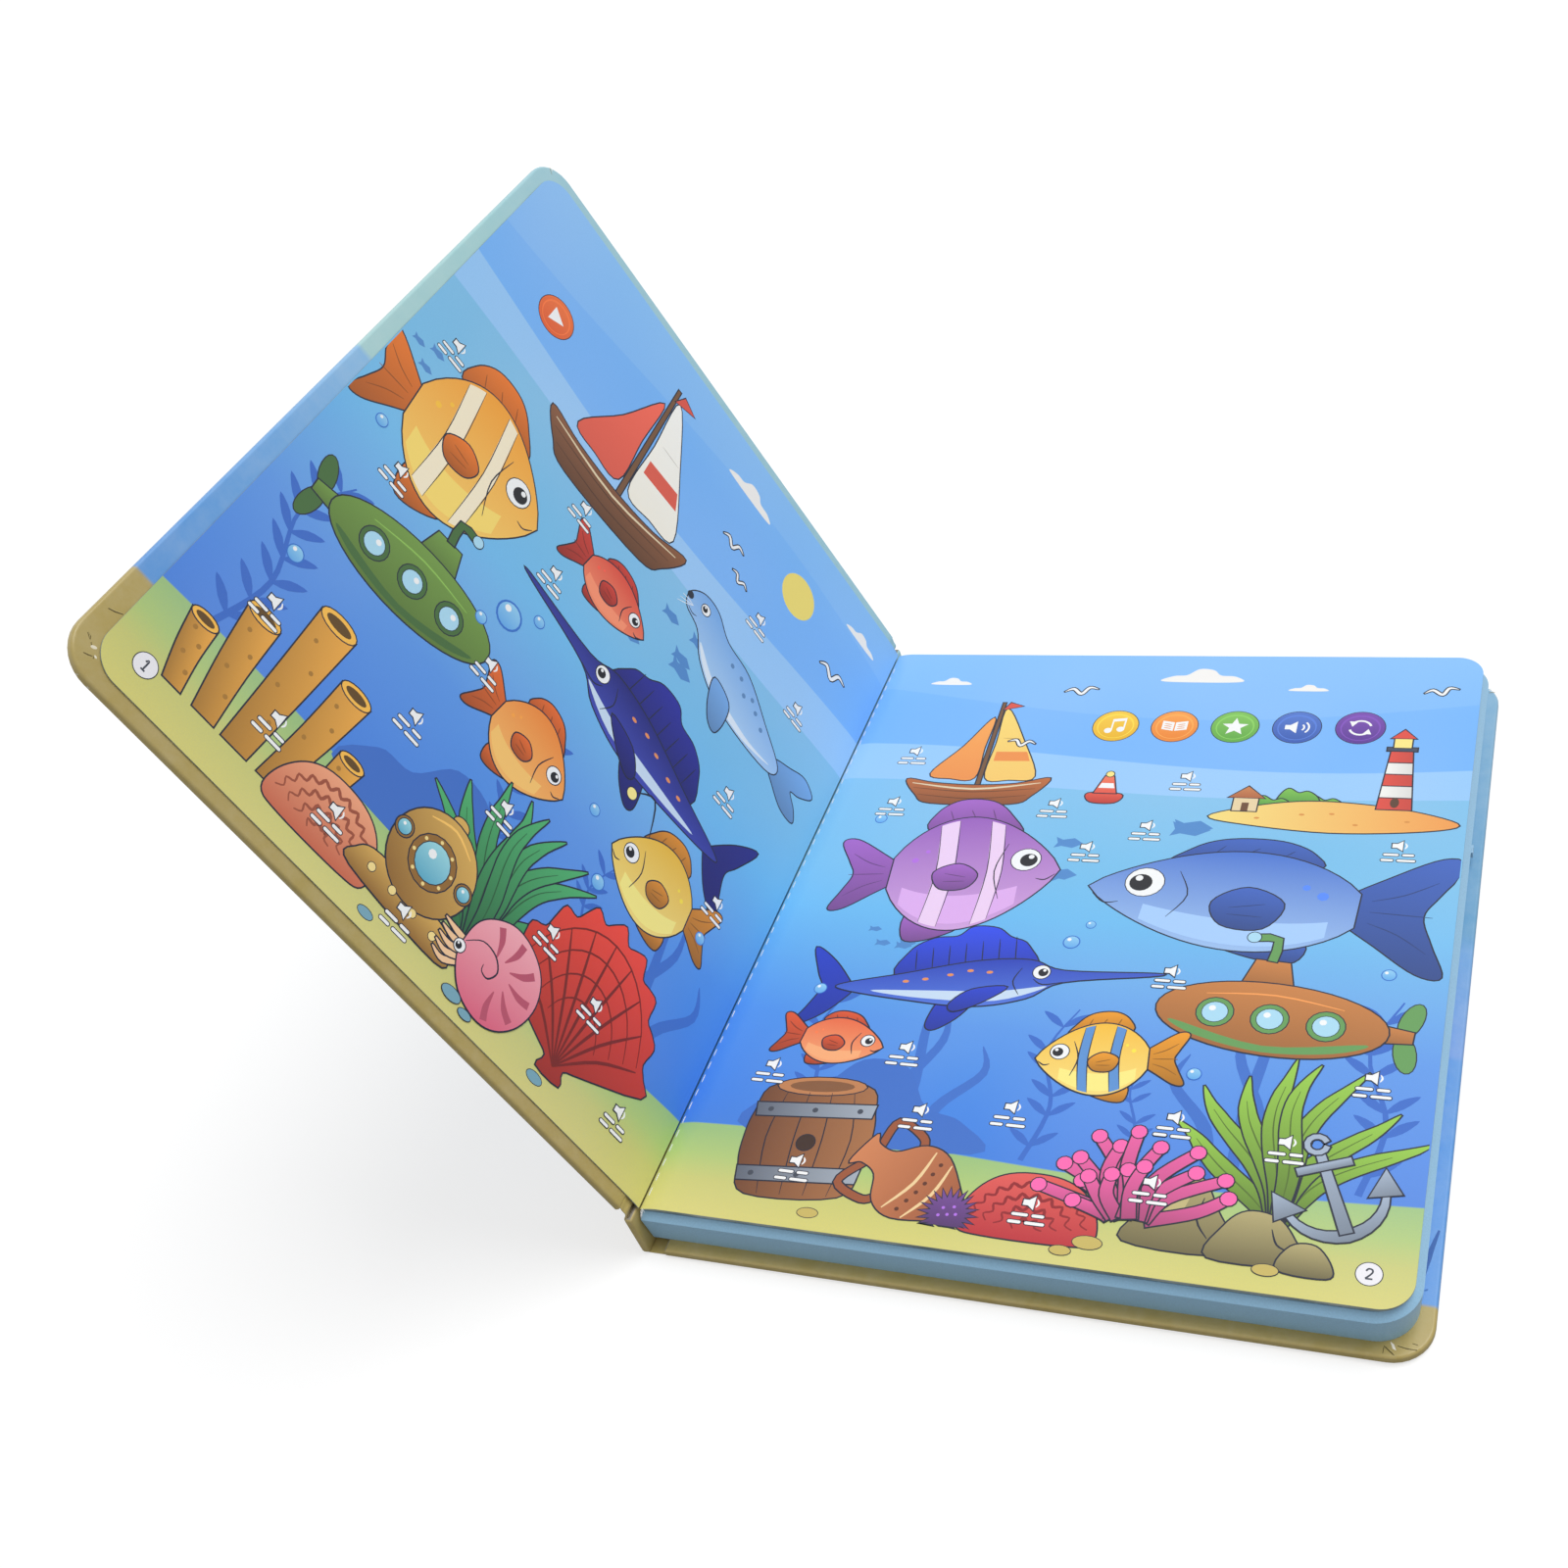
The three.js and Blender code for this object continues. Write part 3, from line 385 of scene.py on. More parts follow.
    def moulded(name, colour, rough, scale, strength):
        tree, shader, where = material(name, Specular_IOR_Level=0.45)
        grain = use(tree, "Moulded grain", {"Vector": where, "Scale": scale})
        dark = tuple(c * 0.9 for c in colour[:3])
        feed(tree, shader, Base_Color=mixed(tree, grain["Tone"], opaque(dark), opaque(colour)),
             Roughness=spread(tree, grain["Sheen"], 0.0, 1.0, rough - 0.05, rough + 0.07))
        bump(tree, shader, grain["Height"], strength, 0.00005)

    moulded("blue moulded plastic", settings.plastic.blue, settings.plastic.roughness, 2300.0, 0.35)
    moulded("smooth blue knob", settings.plastic.knob, 0.3, 1500.0, 0.08)
    moulded("black moulded plastic", tint(38, 40, 44), 0.48, 2600.0, 0.4)
    moulded("pressed cone paper", tint(54, 50, 46), 0.85, 1400.0, 0.9)
    moulded("red sleeve", tint(178, 48, 42), 0.42, 1800.0, 0.15)

    tree, shader, where = material("raw grey board", Roughness=0.92, Specular_IOR_Level=0.15)
    fibre = use(tree, "Paper fibre", {"Vector": where, "Scale": 700.0})
    flecks = node(tree, "ShaderNodeTexVoronoi", {"Vector": where, "Scale": 500.0}).outputs["Distance"]
    grey = toned(tree, fibre["Tone"], (148, 141, 128), (178, 171, 157))
    feed(tree, shader, Base_Color=mixed(tree, spread(tree, flecks, 0.0, 0.18, 0.4, 0.0), grey,
                                        opaque(tint(96, 90, 80))))
    bump(tree, shader, fibre["Height"], 0.7, 0.0002)

    tree, shader, where = material("clear film", Coat_Weight=0.4, Coat_Roughness=0.1)
    lines = brick_lines(tree, where, 60.0, 0.03)
    haze = speckle(tree, where, 120.0, 3.0)
    base = toned(tree, haze, (208, 213, 217), (226, 230, 233))
    feed(tree, shader, Base_Color=mixed(tree, lines, base, opaque(tint(150, 156, 160))),
         Roughness=spread(tree, haze, 0.3, 0.7, 0.14, 0.3))

    tree, shader, where = material("tacky adhesive", Specular_IOR_Level=0.5)
    runs = speckle(tree, where, 90.0, 5.0, 0.6)
    feed(tree, shader, Base_Color=toned(tree, runs, (222, 216, 198), (240, 237, 226)),
         Roughness=spread(tree, runs, 0.3, 0.7, 0.35, 0.7))
    bump(tree, shader, runs, 0.5, 0.0003)

    tree, shader, where = material("green circuit board", Coat_Weight=0.3, Coat_Roughness=0.2)
    tracks = brick_lines(tree, where, 320.0, 0.12)
    pads = node(tree, "ShaderNodeTexVoronoi", {"Vector": where, "Scale": 260.0}).outputs["Distance"]
    solder = spread(tree, pads, 0.12, 0.16, 1.0, 0.0)
    green = mixed(tree, tracks, opaque(tint(20, 84, 48)), opaque(tint(42, 128, 74)))
    feed(tree, shader, Base_Color=mixed(tree, solder, green, opaque(tint(196, 198, 200))), Metallic=solder)
    bump(tree, shader, tracks, 0.3, 0.00005)

    tree, shader, where = material("zinc-plated steel", Metallic=1.0)
    stretched = node(tree, "ShaderNodeMapping", {"Vector": where, "Scale": (1.0, 12.0, 1.0)}).outputs[0]
    brushed = speckle(tree, stretched, 900.0, 4.0, 0.6)
    patches = speckle(tree, where, 110.0, 2.0)
    feed(tree, shader, Base_Color=toned(tree, patches, (176, 178, 182), (206, 206, 204)),
         Roughness=spread(tree, brushed, 0.3, 0.7, 0.24, 0.42))
    bump(tree, shader, brushed, 0.2, 0.00003)

    tree, shader, where = material("cell jacket", Coat_Weight=0.5, Coat_Roughness=0.15)
    along = node(tree, "ShaderNodeSeparateXYZ", {0: where}).outputs[0]
    band = ramp(tree, spread(tree, along, -0.066, -0.021), [
        (0.0, tint(186, 188, 190)), (0.04, tint(44, 104, 150)), (0.72, tint(44, 104, 150)),
        (0.73, tint(226, 224, 216)), (0.95, tint(226, 224, 216)), (0.97, tint(186, 188, 190))], "CONSTANT")
    haze = speckle(tree, where, 200.0, 3.0)
    feed(tree, shader, Base_Color=mixed(tree, spread(tree, haze, 0.3, 0.8, 0.0, 0.1), band, (1, 1, 1, 1)),
         Roughness=spread(tree, haze, 0.3, 0.7, 0.2, 0.4))

    tree, shader, where = material("cotton thread", Roughness=0.85, Sheen_Weight=0.3)
    twist = node(tree, "ShaderNodeTexWave", {"Vector": where, "Scale": 900.0, "Distortion": 1.5},
                 bands_direction="DIAGONAL").outputs["Fac"]
    feed(tree, shader, Base_Color=mixed(tree, twist, opaque(tint(206, 214, 224)), opaque(tint(244, 245, 244))))
    bump(tree, shader, twist, 0.6, 0.00008)


# Mesh helpers


def smoothed(mesh, angle):
    mesh.shade_smooth()
    mesh.set_sharp_from_angle(angle=math.radians(angle))


def mesh_piece(name, points, faces, materials, body=None, stands_for=(), angle=32,
               face_materials=None, print_place=None, edge=None, ink=None):
    """A piece from points in millimetres in the shared frame, riding on its body."""
    mesh = bpy.data.meshes.new(name)
    mesh.from_pydata([Vector(p) * MM for p in points], [], faces)
    mesh.validate()
    for title in materials:
        mesh.materials.append(bpy.data.materials[title])
    if face_materials:
        mesh.polygons.foreach_set("material_index", face_materials)
    if print_place:
        layer = mesh.uv_layers.new(name="print")
        for loop in mesh.loops:
            layer.data[loop.index].uv = print_place[loop.vertex_index]
    if edge:
        mesh.attributes.new("edge", "FLOAT", "POINT").data.foreach_set("value", edge)
    if ink:
        flat = [value for colour in ink for value in (*colour, 1.0)]
        mesh.color_attributes.new("ink", "FLOAT_COLOR", "POINT").data.foreach_set("color", flat)
    smoothed(mesh, angle)
    made = bpy.data.objects.new(name, mesh)
    bpy.context.collection.objects.link(made)
    if body:
        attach(made, body)
    if stands_for:
        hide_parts(*stands_for)
    return made


def arc(centre_x, centre_y, radius, start, end, steps):
    return [(centre_x + radius * math.cos(math.radians(start + (end - start) * i / steps)),
             centre_y + radius * math.sin(math.radians(start + (end - start) * i / steps)))
            for i in range(steps + 1)]


def sheet_outline(x0, x1, half, radius, open_radius=0.05, steps=9):
    """A sheet from the tail round the fore-edge to the head, rounded at the fore-edge corners."""
    return (arc(x0 + open_radius, -half + open_radius, open_radius, 180, 270, 2)
            + arc(x1 - radius, -half + radius, radius, -90, 0, steps)
            + arc(x1 - radius, half - radius, radius, 0, 90, steps)
            + arc(x0 + open_radius, half - open_radius, open_radius, 90, 180, 2))


def capped(points, loops, hole_loops=None, flip=False):
    """Triangles that close a flat loop, with an optional hole."""
    rings = [loops] + ([hole_loops] if hole_loops else [])
    order = [index for ring in rings for index in ring]
    shapes = [[Vector((points[i][0], points[i][1], 0)) for i in ring] for ring in rings]
    triangles = []
    for a, b, c in tessellate_polygon(shapes):
        p, q, r = (Vector(points[order[i]][:2]) for i in (a, b, c))
        turn = (q - p).cross(r - p)
        if abs(turn) < 1e-9:
            continue
        triangle = (order[a], order[b], order[c]) if (turn > 0) != flip else (order[c], order[b], order[a])
        triangles.append(triangle)
    return triangles


def fold_drop(x, dip):
    """How far the paper bends back into the gutter, x millimetres away from it."""
    t = min(1.0, max(0.0, 1.0 - x / FOLD_WIDTH))
    return dip * t * t


def leaf_mesh(x0, x1, half, radius, top, thickness, columns=64, rows=30):
    """A thin sheet as a closed grid. top gives the height of its face at (x, y)."""
    xs = sorted({round(x0 + (x1 - x0) * (i / columns), 4) for i in range(columns + 1)}
                | {round(x0 + FOLD_WIDTH * i / 12, 4) for i in range(13)}
                | {round(x1 - radius * (1 - math.sin(math.radians(90 * i / 14))), 4) for i in range(15)})
    points, faces, kinds, places = [], [], [], []

    def reach(x):
        if x <= x1 - radius:
            return half
        across = min(radius, x - (x1 - radius))
        return half - radius + math.sqrt(max(0.0, radius * radius - across * across))

    for side in (0, 1):
        for x in xs:
            for j in range(rows + 1):
                y = reach(x) * (2 * j / rows - 1)
                points.append((x, y, top(x, y) - side * thickness))
                places.append((min(1, max(0, (x - GUTTER) / PAGE_WIDTH)), (y + HALF_PAGE) / PAGE_HEIGHT))
    stride, total = rows + 1, len(xs) * (rows + 1)
    for i in range(len(xs) - 1):
        for j in range(rows):
            a, b = i * stride + j, (i + 1) * stride + j
            faces += [(a, b, b + 1, a + 1), (total + a, total + a + 1, total + b + 1, total + b)]
            kinds += [0, 1]
    rim = ([i * stride for i in range(len(xs))] + [(len(xs) - 1) * stride + j for j in range(1, stride)]
           + [i * stride + rows for i in range(len(xs) - 2, -1, -1)] + list(range(rows - 1, 0, -1)))
    for a, b in zip(rim, rim[1:] + rim[:1]):
        faces.append((b, a, total + a, total + b))
        kinds.append(1)
    return points, faces, kinds, places


def case_mesh(outline_at, face_low, face_high, round_off, wrap, turn_in, hole=None, folds=5):
    """A wrap folded round a board: rounded edges, turn-ins, and an empty inside for the board.

    The outer face is at face_low. hole is an outline cut through the outer sheet."""
    levels, edges = [], []
    for i in range(folds + 1):
        a = math.radians(90 * i / folds)
        levels.append((round_off * (1 - math.sin(a)), face_low + round_off * (1 - math.cos(a))))
        edges.append(math.sin(a))
    for i in range(folds + 1):
        a = math.radians(90 * i / folds)
        levels.append((round_off * (1 - math.cos(a)), face_high - round_off * (1 - math.sin(a))))
        edges.append(math.cos(a))
    levels += [(turn_in, face_high), (turn_in, face_high - wrap), (wrap, face_high - wrap),
               (wrap, face_low + wrap)]
    edges += [0.0, 0.0, 0.0, 0.0]
    levels.insert(0, (3.0, face_low))
    edges.insert(0, 0.0)
    points, faces, edge = [], [], []
    count = len(outline_at(0))
    for (inset, z), value in zip(levels, edges):
        for x, y in outline_at(inset):
            points.append((x, y, z))
            edge.append(value)
    for level in range(len(levels) - 1):
        for i in range(count):
            a, b = level * count + i, level * count + (i + 1) % count
            faces.append((a, b, b + count, a + count))
    first, last = list(range(count)), [(len(levels) - 1) * count + i for i in range(count)]
    hole_low = hole_high = None
    if hole:
        hole_low = [len(points) + i for i in range(len(hole))]
        points += [(x, y, face_low) for x, y in hole]
        hole_high = [len(points) + i for i in range(len(hole))]
        points += [(x, y, face_low + wrap) for x, y in hole]
        edge += [0.6] * (2 * len(hole))
        for i in range(len(hole)):
            j = (i + 1) % len(hole)
            faces.append((hole_low[i], hole_low[j], hole_high[j], hole_high[i]))
    faces += capped(points, first, hole_low, flip=True)
    faces += capped(points, last, hole_high, flip=False)
    return points, faces, edge


def ribbon_mesh(path, thickness, half, rows, wobble):
    """A strip of cloth that follows a path of (x, z) points and runs from tail to head."""
    points, faces = [], []
    count = len(path)
    for j in range(rows + 1):
        y = half * (2 * j / rows - 1)
        for side in (0, 1):
            for i, (x, z) in enumerate(path):
                before, after = path[max(0, i - 1)], path[min(count - 1, i + 1)]
                along = Vector((after[0] - before[0], after[1] - before[1])).normalized()
                out = Vector((-along.y, along.x)) * (side - 0.5) * thickness
                slack = math.sin(math.pi * i / (count - 1))
                push = wobble * slack * noise.noise(Vector((x * 0.2, y * 0.11, 3.1)))
                points.append((x + out.x - along.y * push, y, z + out.y + along.x * push))
    stride = 2 * count
    for j in range(rows):
        base = j * stride
        for i in range(count - 1):
            a, b = base + i, base + count + i
            faces += [(a, a + 1, a + 1 + stride, a + stride), (b, b + stride, b + 1 + stride, b + 1)]
        for i in (0, count - 1):
            a, b = base + i, base + count + i
            faces.append((a, a + stride, b + stride, b) if i == 0 else (a, b, b + stride, a + stride))
    for base, turn in ((0, 1), (rows * stride, -1)):
        for i in range(count - 1):
            quad = (base + i, base + count + i, base + count + i + 1, base + i + 1)
            faces.append(quad[::turn])
    return points, faces


def rounded_bar(low, high, radius, steps=4, rows=24):
    """A slab that is rounded along its long edges and at both ends. It runs along Y."""
    section = []
    for cx, cz, start in ((high[0] - radius, high[2] - radius, 0), (low[0] + radius, high[2] - radius, 90),
                          (low[0] + radius, low[2] + radius, 180), (high[0] - radius, low[2] + radius, 270)):
        section += arc(cx, cz, radius, start, start + 90, steps)
    middle_x, middle_z = (low[0] + high[0]) / 2, (low[2] + high[2]) / 2
    stations = [(low[1], radius)]
    stations += [(low[1] + radius * (1 - math.cos(math.radians(90 * i / steps))),
                  radius * (1 - math.sin(math.radians(90 * i / steps)))) for i in range(1, steps + 1)]
    stations += [(low[1] + radius + (high[1] - low[1] - 2 * radius) * i / rows, 0.0) for i in range(1, rows)]
    stations += [(high[1] - y + low[1], inset) for y, inset in reversed(stations[:steps + 1])]
    points, faces, edge = [], [], []
    half_x, half_z = (high[0] - low[0]) / 2, (high[2] - low[2]) / 2
    for y, inset in stations:
        for i, (x, z) in enumerate(section):
            points.append((middle_x + (x - middle_x) * (half_x - inset) / half_x, y,
                           middle_z + (z - middle_z) * (half_z - inset) / half_z))
            corner = i % (steps + 1) / steps
            edge.append(max(math.sin(math.pi * corner), inset / radius * 0.9))
    count = len(section)
    for j in range(len(stations) - 1):
        for i in range(count):
            a, b = j * count + i, j * count + (i + 1) % count
            faces.append((a, b, b + count, a + count))
    faces += [tuple(range(count))[::-1], tuple((len(stations) - 1) * count + i for i in range(count))]
    return points, faces, edge


# Drawing of the flat print


INK = (30, 36, 54)
WHITE = (250, 252, 252)


def shade(colour, amount):
    return tuple(min(255, int(c * amount)) for c in colour)


def curve(points, closed=True, steps=5):
    """A smooth line through points."""
    count, made = len(points), []
    for i in range(count if closed else count - 1):
        if closed:
            a, b, c, d = (points[(i + k) % count] for k in (-1, 0, 1, 2))
        else:
            a, b, c, d = (points[min(count - 1, max(0, i + k))] for k in (-1, 0, 1, 2))
        for s in range(steps):
            t = s / steps
            made.append(tuple(0.5 * (2 * b[k] + (c[k] - a[k]) * t + (2 * a[k] - 5 * b[k] + 4 * c[k] - d[k]) * t * t
                                     + (3 * b[k] - a[k] - 3 * c[k] + d[k]) * t ** 3) for k in (0, 1)))
    return made if closed else made + [tuple(points[-1])]


def oval(x, y, rx, ry=None, turn=0.0, steps=26):
    ry = rx if ry is None else ry
    c, s = math.cos(math.radians(turn)), math.sin(math.radians(turn))
    return [(x + rx * math.cos(a) * c - ry * math.sin(a) * s, y + rx * math.cos(a) * s + ry * math.sin(a) * c)
            for a in (2 * math.pi * i / steps for i in range(steps))]


def around(radius, angles, x=0.0, y=0.0):
    """Points on a circle about (x, y), at angles in radians."""
    return [(x + radius * math.cos(a), y + radius * math.sin(a)) for a in angles]


def bar(x, y, length, thick, steps=5):
    """A short line with round ends."""
    r = thick / 2
    return arc(x + length / 2 - r, y, r, -90, 90, steps) + arc(x - length / 2 + r, y, r, 90, 270, steps)


def ribbon(path, widths):
    """The outline of a stroke along a path, with a width at each end and between."""
    count = len(path)
    left, right = [], []
    for i, (x, y) in enumerate(path):
        (ax, ay), (bx, by) = path[max(0, i - 1)], path[min(count - 1, i + 1)]
        length = math.hypot(bx - ax, by - ay) or 1.0
        place = i / (count - 1) * (len(widths) - 1)
        k = min(len(widths) - 2, int(place))
        width = widths[k] + (widths[k + 1] - widths[k]) * (place - k)
        nx, ny = -(by - ay) / length * width / 2, (bx - ax) / length * width / 2
        left.append((x + nx, y + ny))
        right.append((x - nx, y - ny))
    return right + left[::-1]


def area(points):
    return sum(a[0] * b[1] - b[0] * a[1] for a, b in zip(points, points[1:] + points[:1])) / 2


def grown(points, distance):
    """The same outline, moved outwards."""
    sign = 1 if area(points) > 0 else -1
    made = []
    for before, here, after in zip(points[-1:] + points[:-1], points, points[1:] + points[:1]):
        a = Vector((here[0] - before[0], here[1] - before[1]))
        b = Vector((after[0] - here[0], after[1] - here[1]))
        if a.length < 1e-6 or b.length < 1e-6:
            continue
        a.normalize()
        b.normalize()
        out = Vector((a.y + b.y, -a.x - b.x))
        if out.length < 0.3:
            out = Vector((a.y, -a.x)) + a * 0.5
        out = out.normalized() / max(0.6, math.sqrt(max(0.0, (1 + a.dot(b)) / 2)))
        made.append((here[0] + sign * out.x * distance, here[1] + sign * out.y * distance))
    return made


class PagePrint:
    """The inked shapes of one page, gathered into one mesh. place turns (across, up, rise) into a point.

    Each shape lies one level above the earlier shapes that it crosses, so that no two share a height."""

    def __init__(self, place, line, limits=None):
        self.place, self.line, self.limits = place, line, limits
        self.points, self.faces, self.ink, self.boxes = [], [], [], []

    def paint(self, outline, low, high=None, turn=90.0, line=None):
        """A filled shape, with a gradient from low to high along turn, over its own dark outline."""
        line = self.line if line is None else line
        if line:
            self.stamp(grown(outline, line), INK, INK, 0.0)
        self.stamp(outline, low, high or low, turn)

    def stamp(self, outline, low, high, turn):
        if self.limits:
            (x0, x1), (y0, y1) = self.limits
            outline = [(min(x1, max(x0, x)), min(y1, max(y0, y))) for x, y in outline]
        if area(outline) < 0:
            outline = outline[::-1]
        xs, ys = [p[0] for p in outline], [p[1] for p in outline]
        left, right, bottom, top = min(xs), max(xs), min(ys), max(ys)
        level = 1 + max((b[4] for b in self.boxes if b[0] < right and left < b[1] and b[2] < top and bottom < b[3]),
                        default=0)
        self.boxes.append((left, right, bottom, top, level))
        c, s = math.cos(math.radians(turn)), math.sin(math.radians(turn))
        along = [x * c + y * s for x, y in outline]
        least, most = min(along), max(along)
        low, high = tint(*low), tint(*high)
        start, count = len(self.points), len(outline)
        for height in (FIRST_LEVEL + LEVEL * level, LEVEL):
            for (x, y), a in zip(outline, along):
                t = (a - least) / max(1e-6, most - least)
                self.points.append(self.place(x, y, height))
                self.ink.append(tuple(p + (q - p) * t for p, q in zip(low, high)))
        for a, b, c in capped(outline, list(range(count))):
            self.faces += [(start + a, start + b, start + c),
                           (start + count + c, start + count + b, start + count + a)]
        for i in range(count):
            j = (i + 1) % count
            self.faces.append((start + i, start + count + i, start + count + j, start + j))

    def piece(self, name, body):
        return mesh_piece(name, self.points, self.faces, ["printed ink"], body, angle=20, ink=self.ink)


class Pen:
    """Draws in a motif's own units: size millimetres to one unit, turned, and mirrored if flip is -1."""

    def __init__(self, page, x, y, size, turn=0.0, flip=1):
        self.page, self.x, self.y, self.size, self.flip, self.turn = page, x, y, size, flip, turn
        self.c, self.s = math.cos(math.radians(turn)), math.sin(math.radians(turn))

    def at(self, points):
        return [(self.x + self.size * (px * self.flip * self.c - py * self.s),
                 self.y + self.size * (px * self.flip * self.s + py * self.c)) for px, py in points]

    def fill(self, points, low, high=None, turn=90.0, line=None):
        self.page.paint(self.at(points), low, high, turn + self.turn, line)

    def box(self, x0, y0, x1, y1, low, high=None, line=None):
        self.fill([(x0, y0), (x1, y0), (x1, y1), (x0, y1)], low, high, line=line)

    def blob(self, points, low, high=None, turn=90.0, line=None, steps=5):
        self.fill(curve(points, steps=steps), low, high, turn, line)

    def stroke(self, path, widths, low, high=None, line=None, steps=5):
        self.fill(ribbon(curve(path, False, steps), widths), low, high, 90.0, line)

    def mark(self, path, width, colour=INK, steps=4):
        """A thin line without an outline. Its width is in millimetres."""
        w = width / self.size
        self.fill(ribbon(curve(path, False, steps), [w * 0.4, w, w, w * 0.4]), colour, line=0)

    def dot(self, x, y, radius, colour, line=0, ry=None, steps=18, high=None, turn=0.0):
        self.fill(oval(x, y, radius, ry, turn, steps), colour, high, line=line)

    def dots(self, places, radius, colour, ry=None):
        for x, y in places:
            self.dot(x, y, radius, colour, ry=ry, steps=8)

    def eye(self, x, y, radius):
        self.dot(x, y, radius, WHITE, line=self.page.line * 0.7)
        self.dot(x + radius * 0.2, y - radius * 0.05, radius * 0.6, (24, 26, 34))
        self.dot(x + radius * 0.35, y + radius * 0.25, radius * 0.2, WHITE, steps=10)


# Motifs


def fish(pen, back, belly, fin, tall=0.5, stripes=(), stripe=(255, 255, 255), lamp=False):
    """A fish that swims towards +X, one unit long."""
    def half(x):
        t = min(1.0, max(0.0, (x + 0.44) / 0.94))
        return tall / 2 * math.sin(math.pi * t ** 0.85) ** 0.75 + 0.035 * (1 - t)

    dark = shade(fin, 0.72)
    pen.blob([(-0.36, 0.04), (-0.5, 0.16), (-0.66, 0.27), (-0.74, 0.25), (-0.67, 0.1), (-0.63, 0.0), (-0.67, -0.12),
              (-0.72, -0.25), (-0.64, -0.25), (-0.5, -0.15), (-0.36, -0.04)], dark, fin)
    for k in (-1, 0, 1):
        pen.mark([(-0.46, 0.05 * k), (-0.56, 0.09 * k), (-0.66, 0.16 * k)], 0.35, shade(fin, 0.62))
    pen.blob([(-0.24, half(-0.24) - 0.03), (-0.24, tall * 0.58), (-0.12, tall * 0.7), (0.06, tall * 0.68),
              (0.18, tall * 0.54), (0.24, half(0.24) - 0.05)], dark, fin)
    for x in (-0.14, -0.02, 0.1):
        pen.mark([(x, half(x)), (x - 0.03, tall * 0.6)], 0.35, shade(fin, 0.62))
    pen.blob([(-0.26, 0.03 - half(-0.26)), (-0.26, -tall * 0.6), (-0.12, -tall * 0.6), (0.02, 0.03 - half(0.0))],
             dark, fin)
    xs = [-0.42 + 0.92 * i / 22 for i in range(23)]
    pen.fill([(x, -half(x)) for x in xs] + [(x, half(x)) for x in xs[-2::-1]], belly, back)
    pen.fill([(x, -half(x) * 0.9) for x in xs[2:18]] + [(x, -half(x) * 0.42) for x in xs[17:1:-1]],
             shade(belly, 1.07), line=0)
    for a, b in stripes:
        part = [a + (b - a) * i / 5 for i in range(6)]
        pen.fill([(x, -half(x) * 0.96) for x in part] + [(b + 0.03, 0.0)]
                 + [(x, half(x) * 0.96) for x in part[::-1]] + [(a + 0.03, 0.0)], stripe, line=0)
        for x in (a, b):
            pen.mark([(x, half(x) * 0.96), (x + 0.03, 0.0), (x, -half(x) * 0.96)], 0.3)
    pen.mark([(0.2, half(0.2) * 0.6), (0.15, 0.0), (0.2, -half(0.2) * 0.6)], 0.4)
    pen.blob([(0.06, -0.02), (-0.05, 0.06), (-0.18, 0.0), (-0.13, -0.12), (0.01, -0.12)], dark, fin)
    for k in (0, 1):
        pen.mark([(0.0, -0.04 - 0.03 * k), (-0.12, -0.01 - 0.06 * k)], 0.3, shade(fin, 0.6))
    pen.dot(-0.3, tall * 0.12, 0.02, shade(back, 1.2), steps=8)
    pen.dot(-0.24, tall * 0.2, 0.014, shade(back, 1.2), steps=8)
    pen.eye(0.31, tall * 0.1, 0.055 + tall * 0.03)
    pen.mark([(0.48, -0.03), (0.43, -0.07), (0.38, -0.06)], 0.45)
    if lamp:
        pen.mark([(0.22, half(0.22)), (0.32, tall * 0.85), (0.52, tall * 0.72)], 0.6)
        pen.dot(0.54, tall * 0.68, 0.05, (255, 240, 150), line=0.25)


def sailfish(pen, back, belly, fin):
    """A long fish with a spear and a tall sail, one unit long."""
    pen.blob([(-0.5, 0.0), (-0.6, 0.14), (-0.7, 0.22), (-0.66, 0.08), (-0.63, 0.0), (-0.67, -0.1), (-0.72, -0.2),
              (-0.6, -0.14), (-0.5, -0.03)], fin, shade(fin, 1.25))
    pen.blob([(-0.3, 0.04), (-0.29, 0.18), (-0.2, 0.25), (-0.1, 0.26), (-0.04, 0.31), (0.06, 0.3), (0.12, 0.25),
              (0.2, 0.2), (0.22, 0.05)], fin, shade(fin, 1.5))
    for i in range(7):
        x = -0.25 + 0.068 * i
        pen.mark([(x, 0.08), (x - 0.012, 0.19 + 0.01 * i)], 0.35)
    pen.blob([(0.02, -0.06), (-0.03, -0.16), (-0.12, -0.23), (-0.16, -0.21), (-0.14, -0.12), (-0.1, -0.06)], fin,
             shade(fin, 1.3))
    pen.blob([(0.72, 0.035), (0.36, 0.06), (0.22, 0.12), (0.0, 0.12), (-0.3, 0.06), (-0.54, 0.015),
              (-0.54, -0.015), (-0.3, -0.07), (0.0, -0.115), (0.22, -0.08), (0.36, 0.0), (0.7, 0.022)], belly, back)
    pen.blob([(0.3, -0.02), (0.1, -0.09), (-0.2, -0.07), (-0.42, -0.025), (-0.2, -0.03), (0.1, -0.04)],
             (205, 226, 247), line=0)
    pen.dots(((-0.1, 0.05), (-0.02, 0.07), (0.06, 0.06), (-0.2, 0.03), (-0.28, 0.02)), 0.014, (236, 150, 92), 0.008)
    pen.mark([(0.36, 0.0), (0.28, -0.01), (0.24, 0.02)], 0.45)
    pen.mark([(0.19, 0.08), (0.16, 0.01), (0.19, -0.06)], 0.4)
    pen.blob([(0.14, -0.02), (0.04, -0.1), (-0.06, -0.14), (-0.08, -0.1), (0.0, -0.03)], fin, shade(fin, 1.3))
    pen.eye(0.27, 0.055, 0.034)


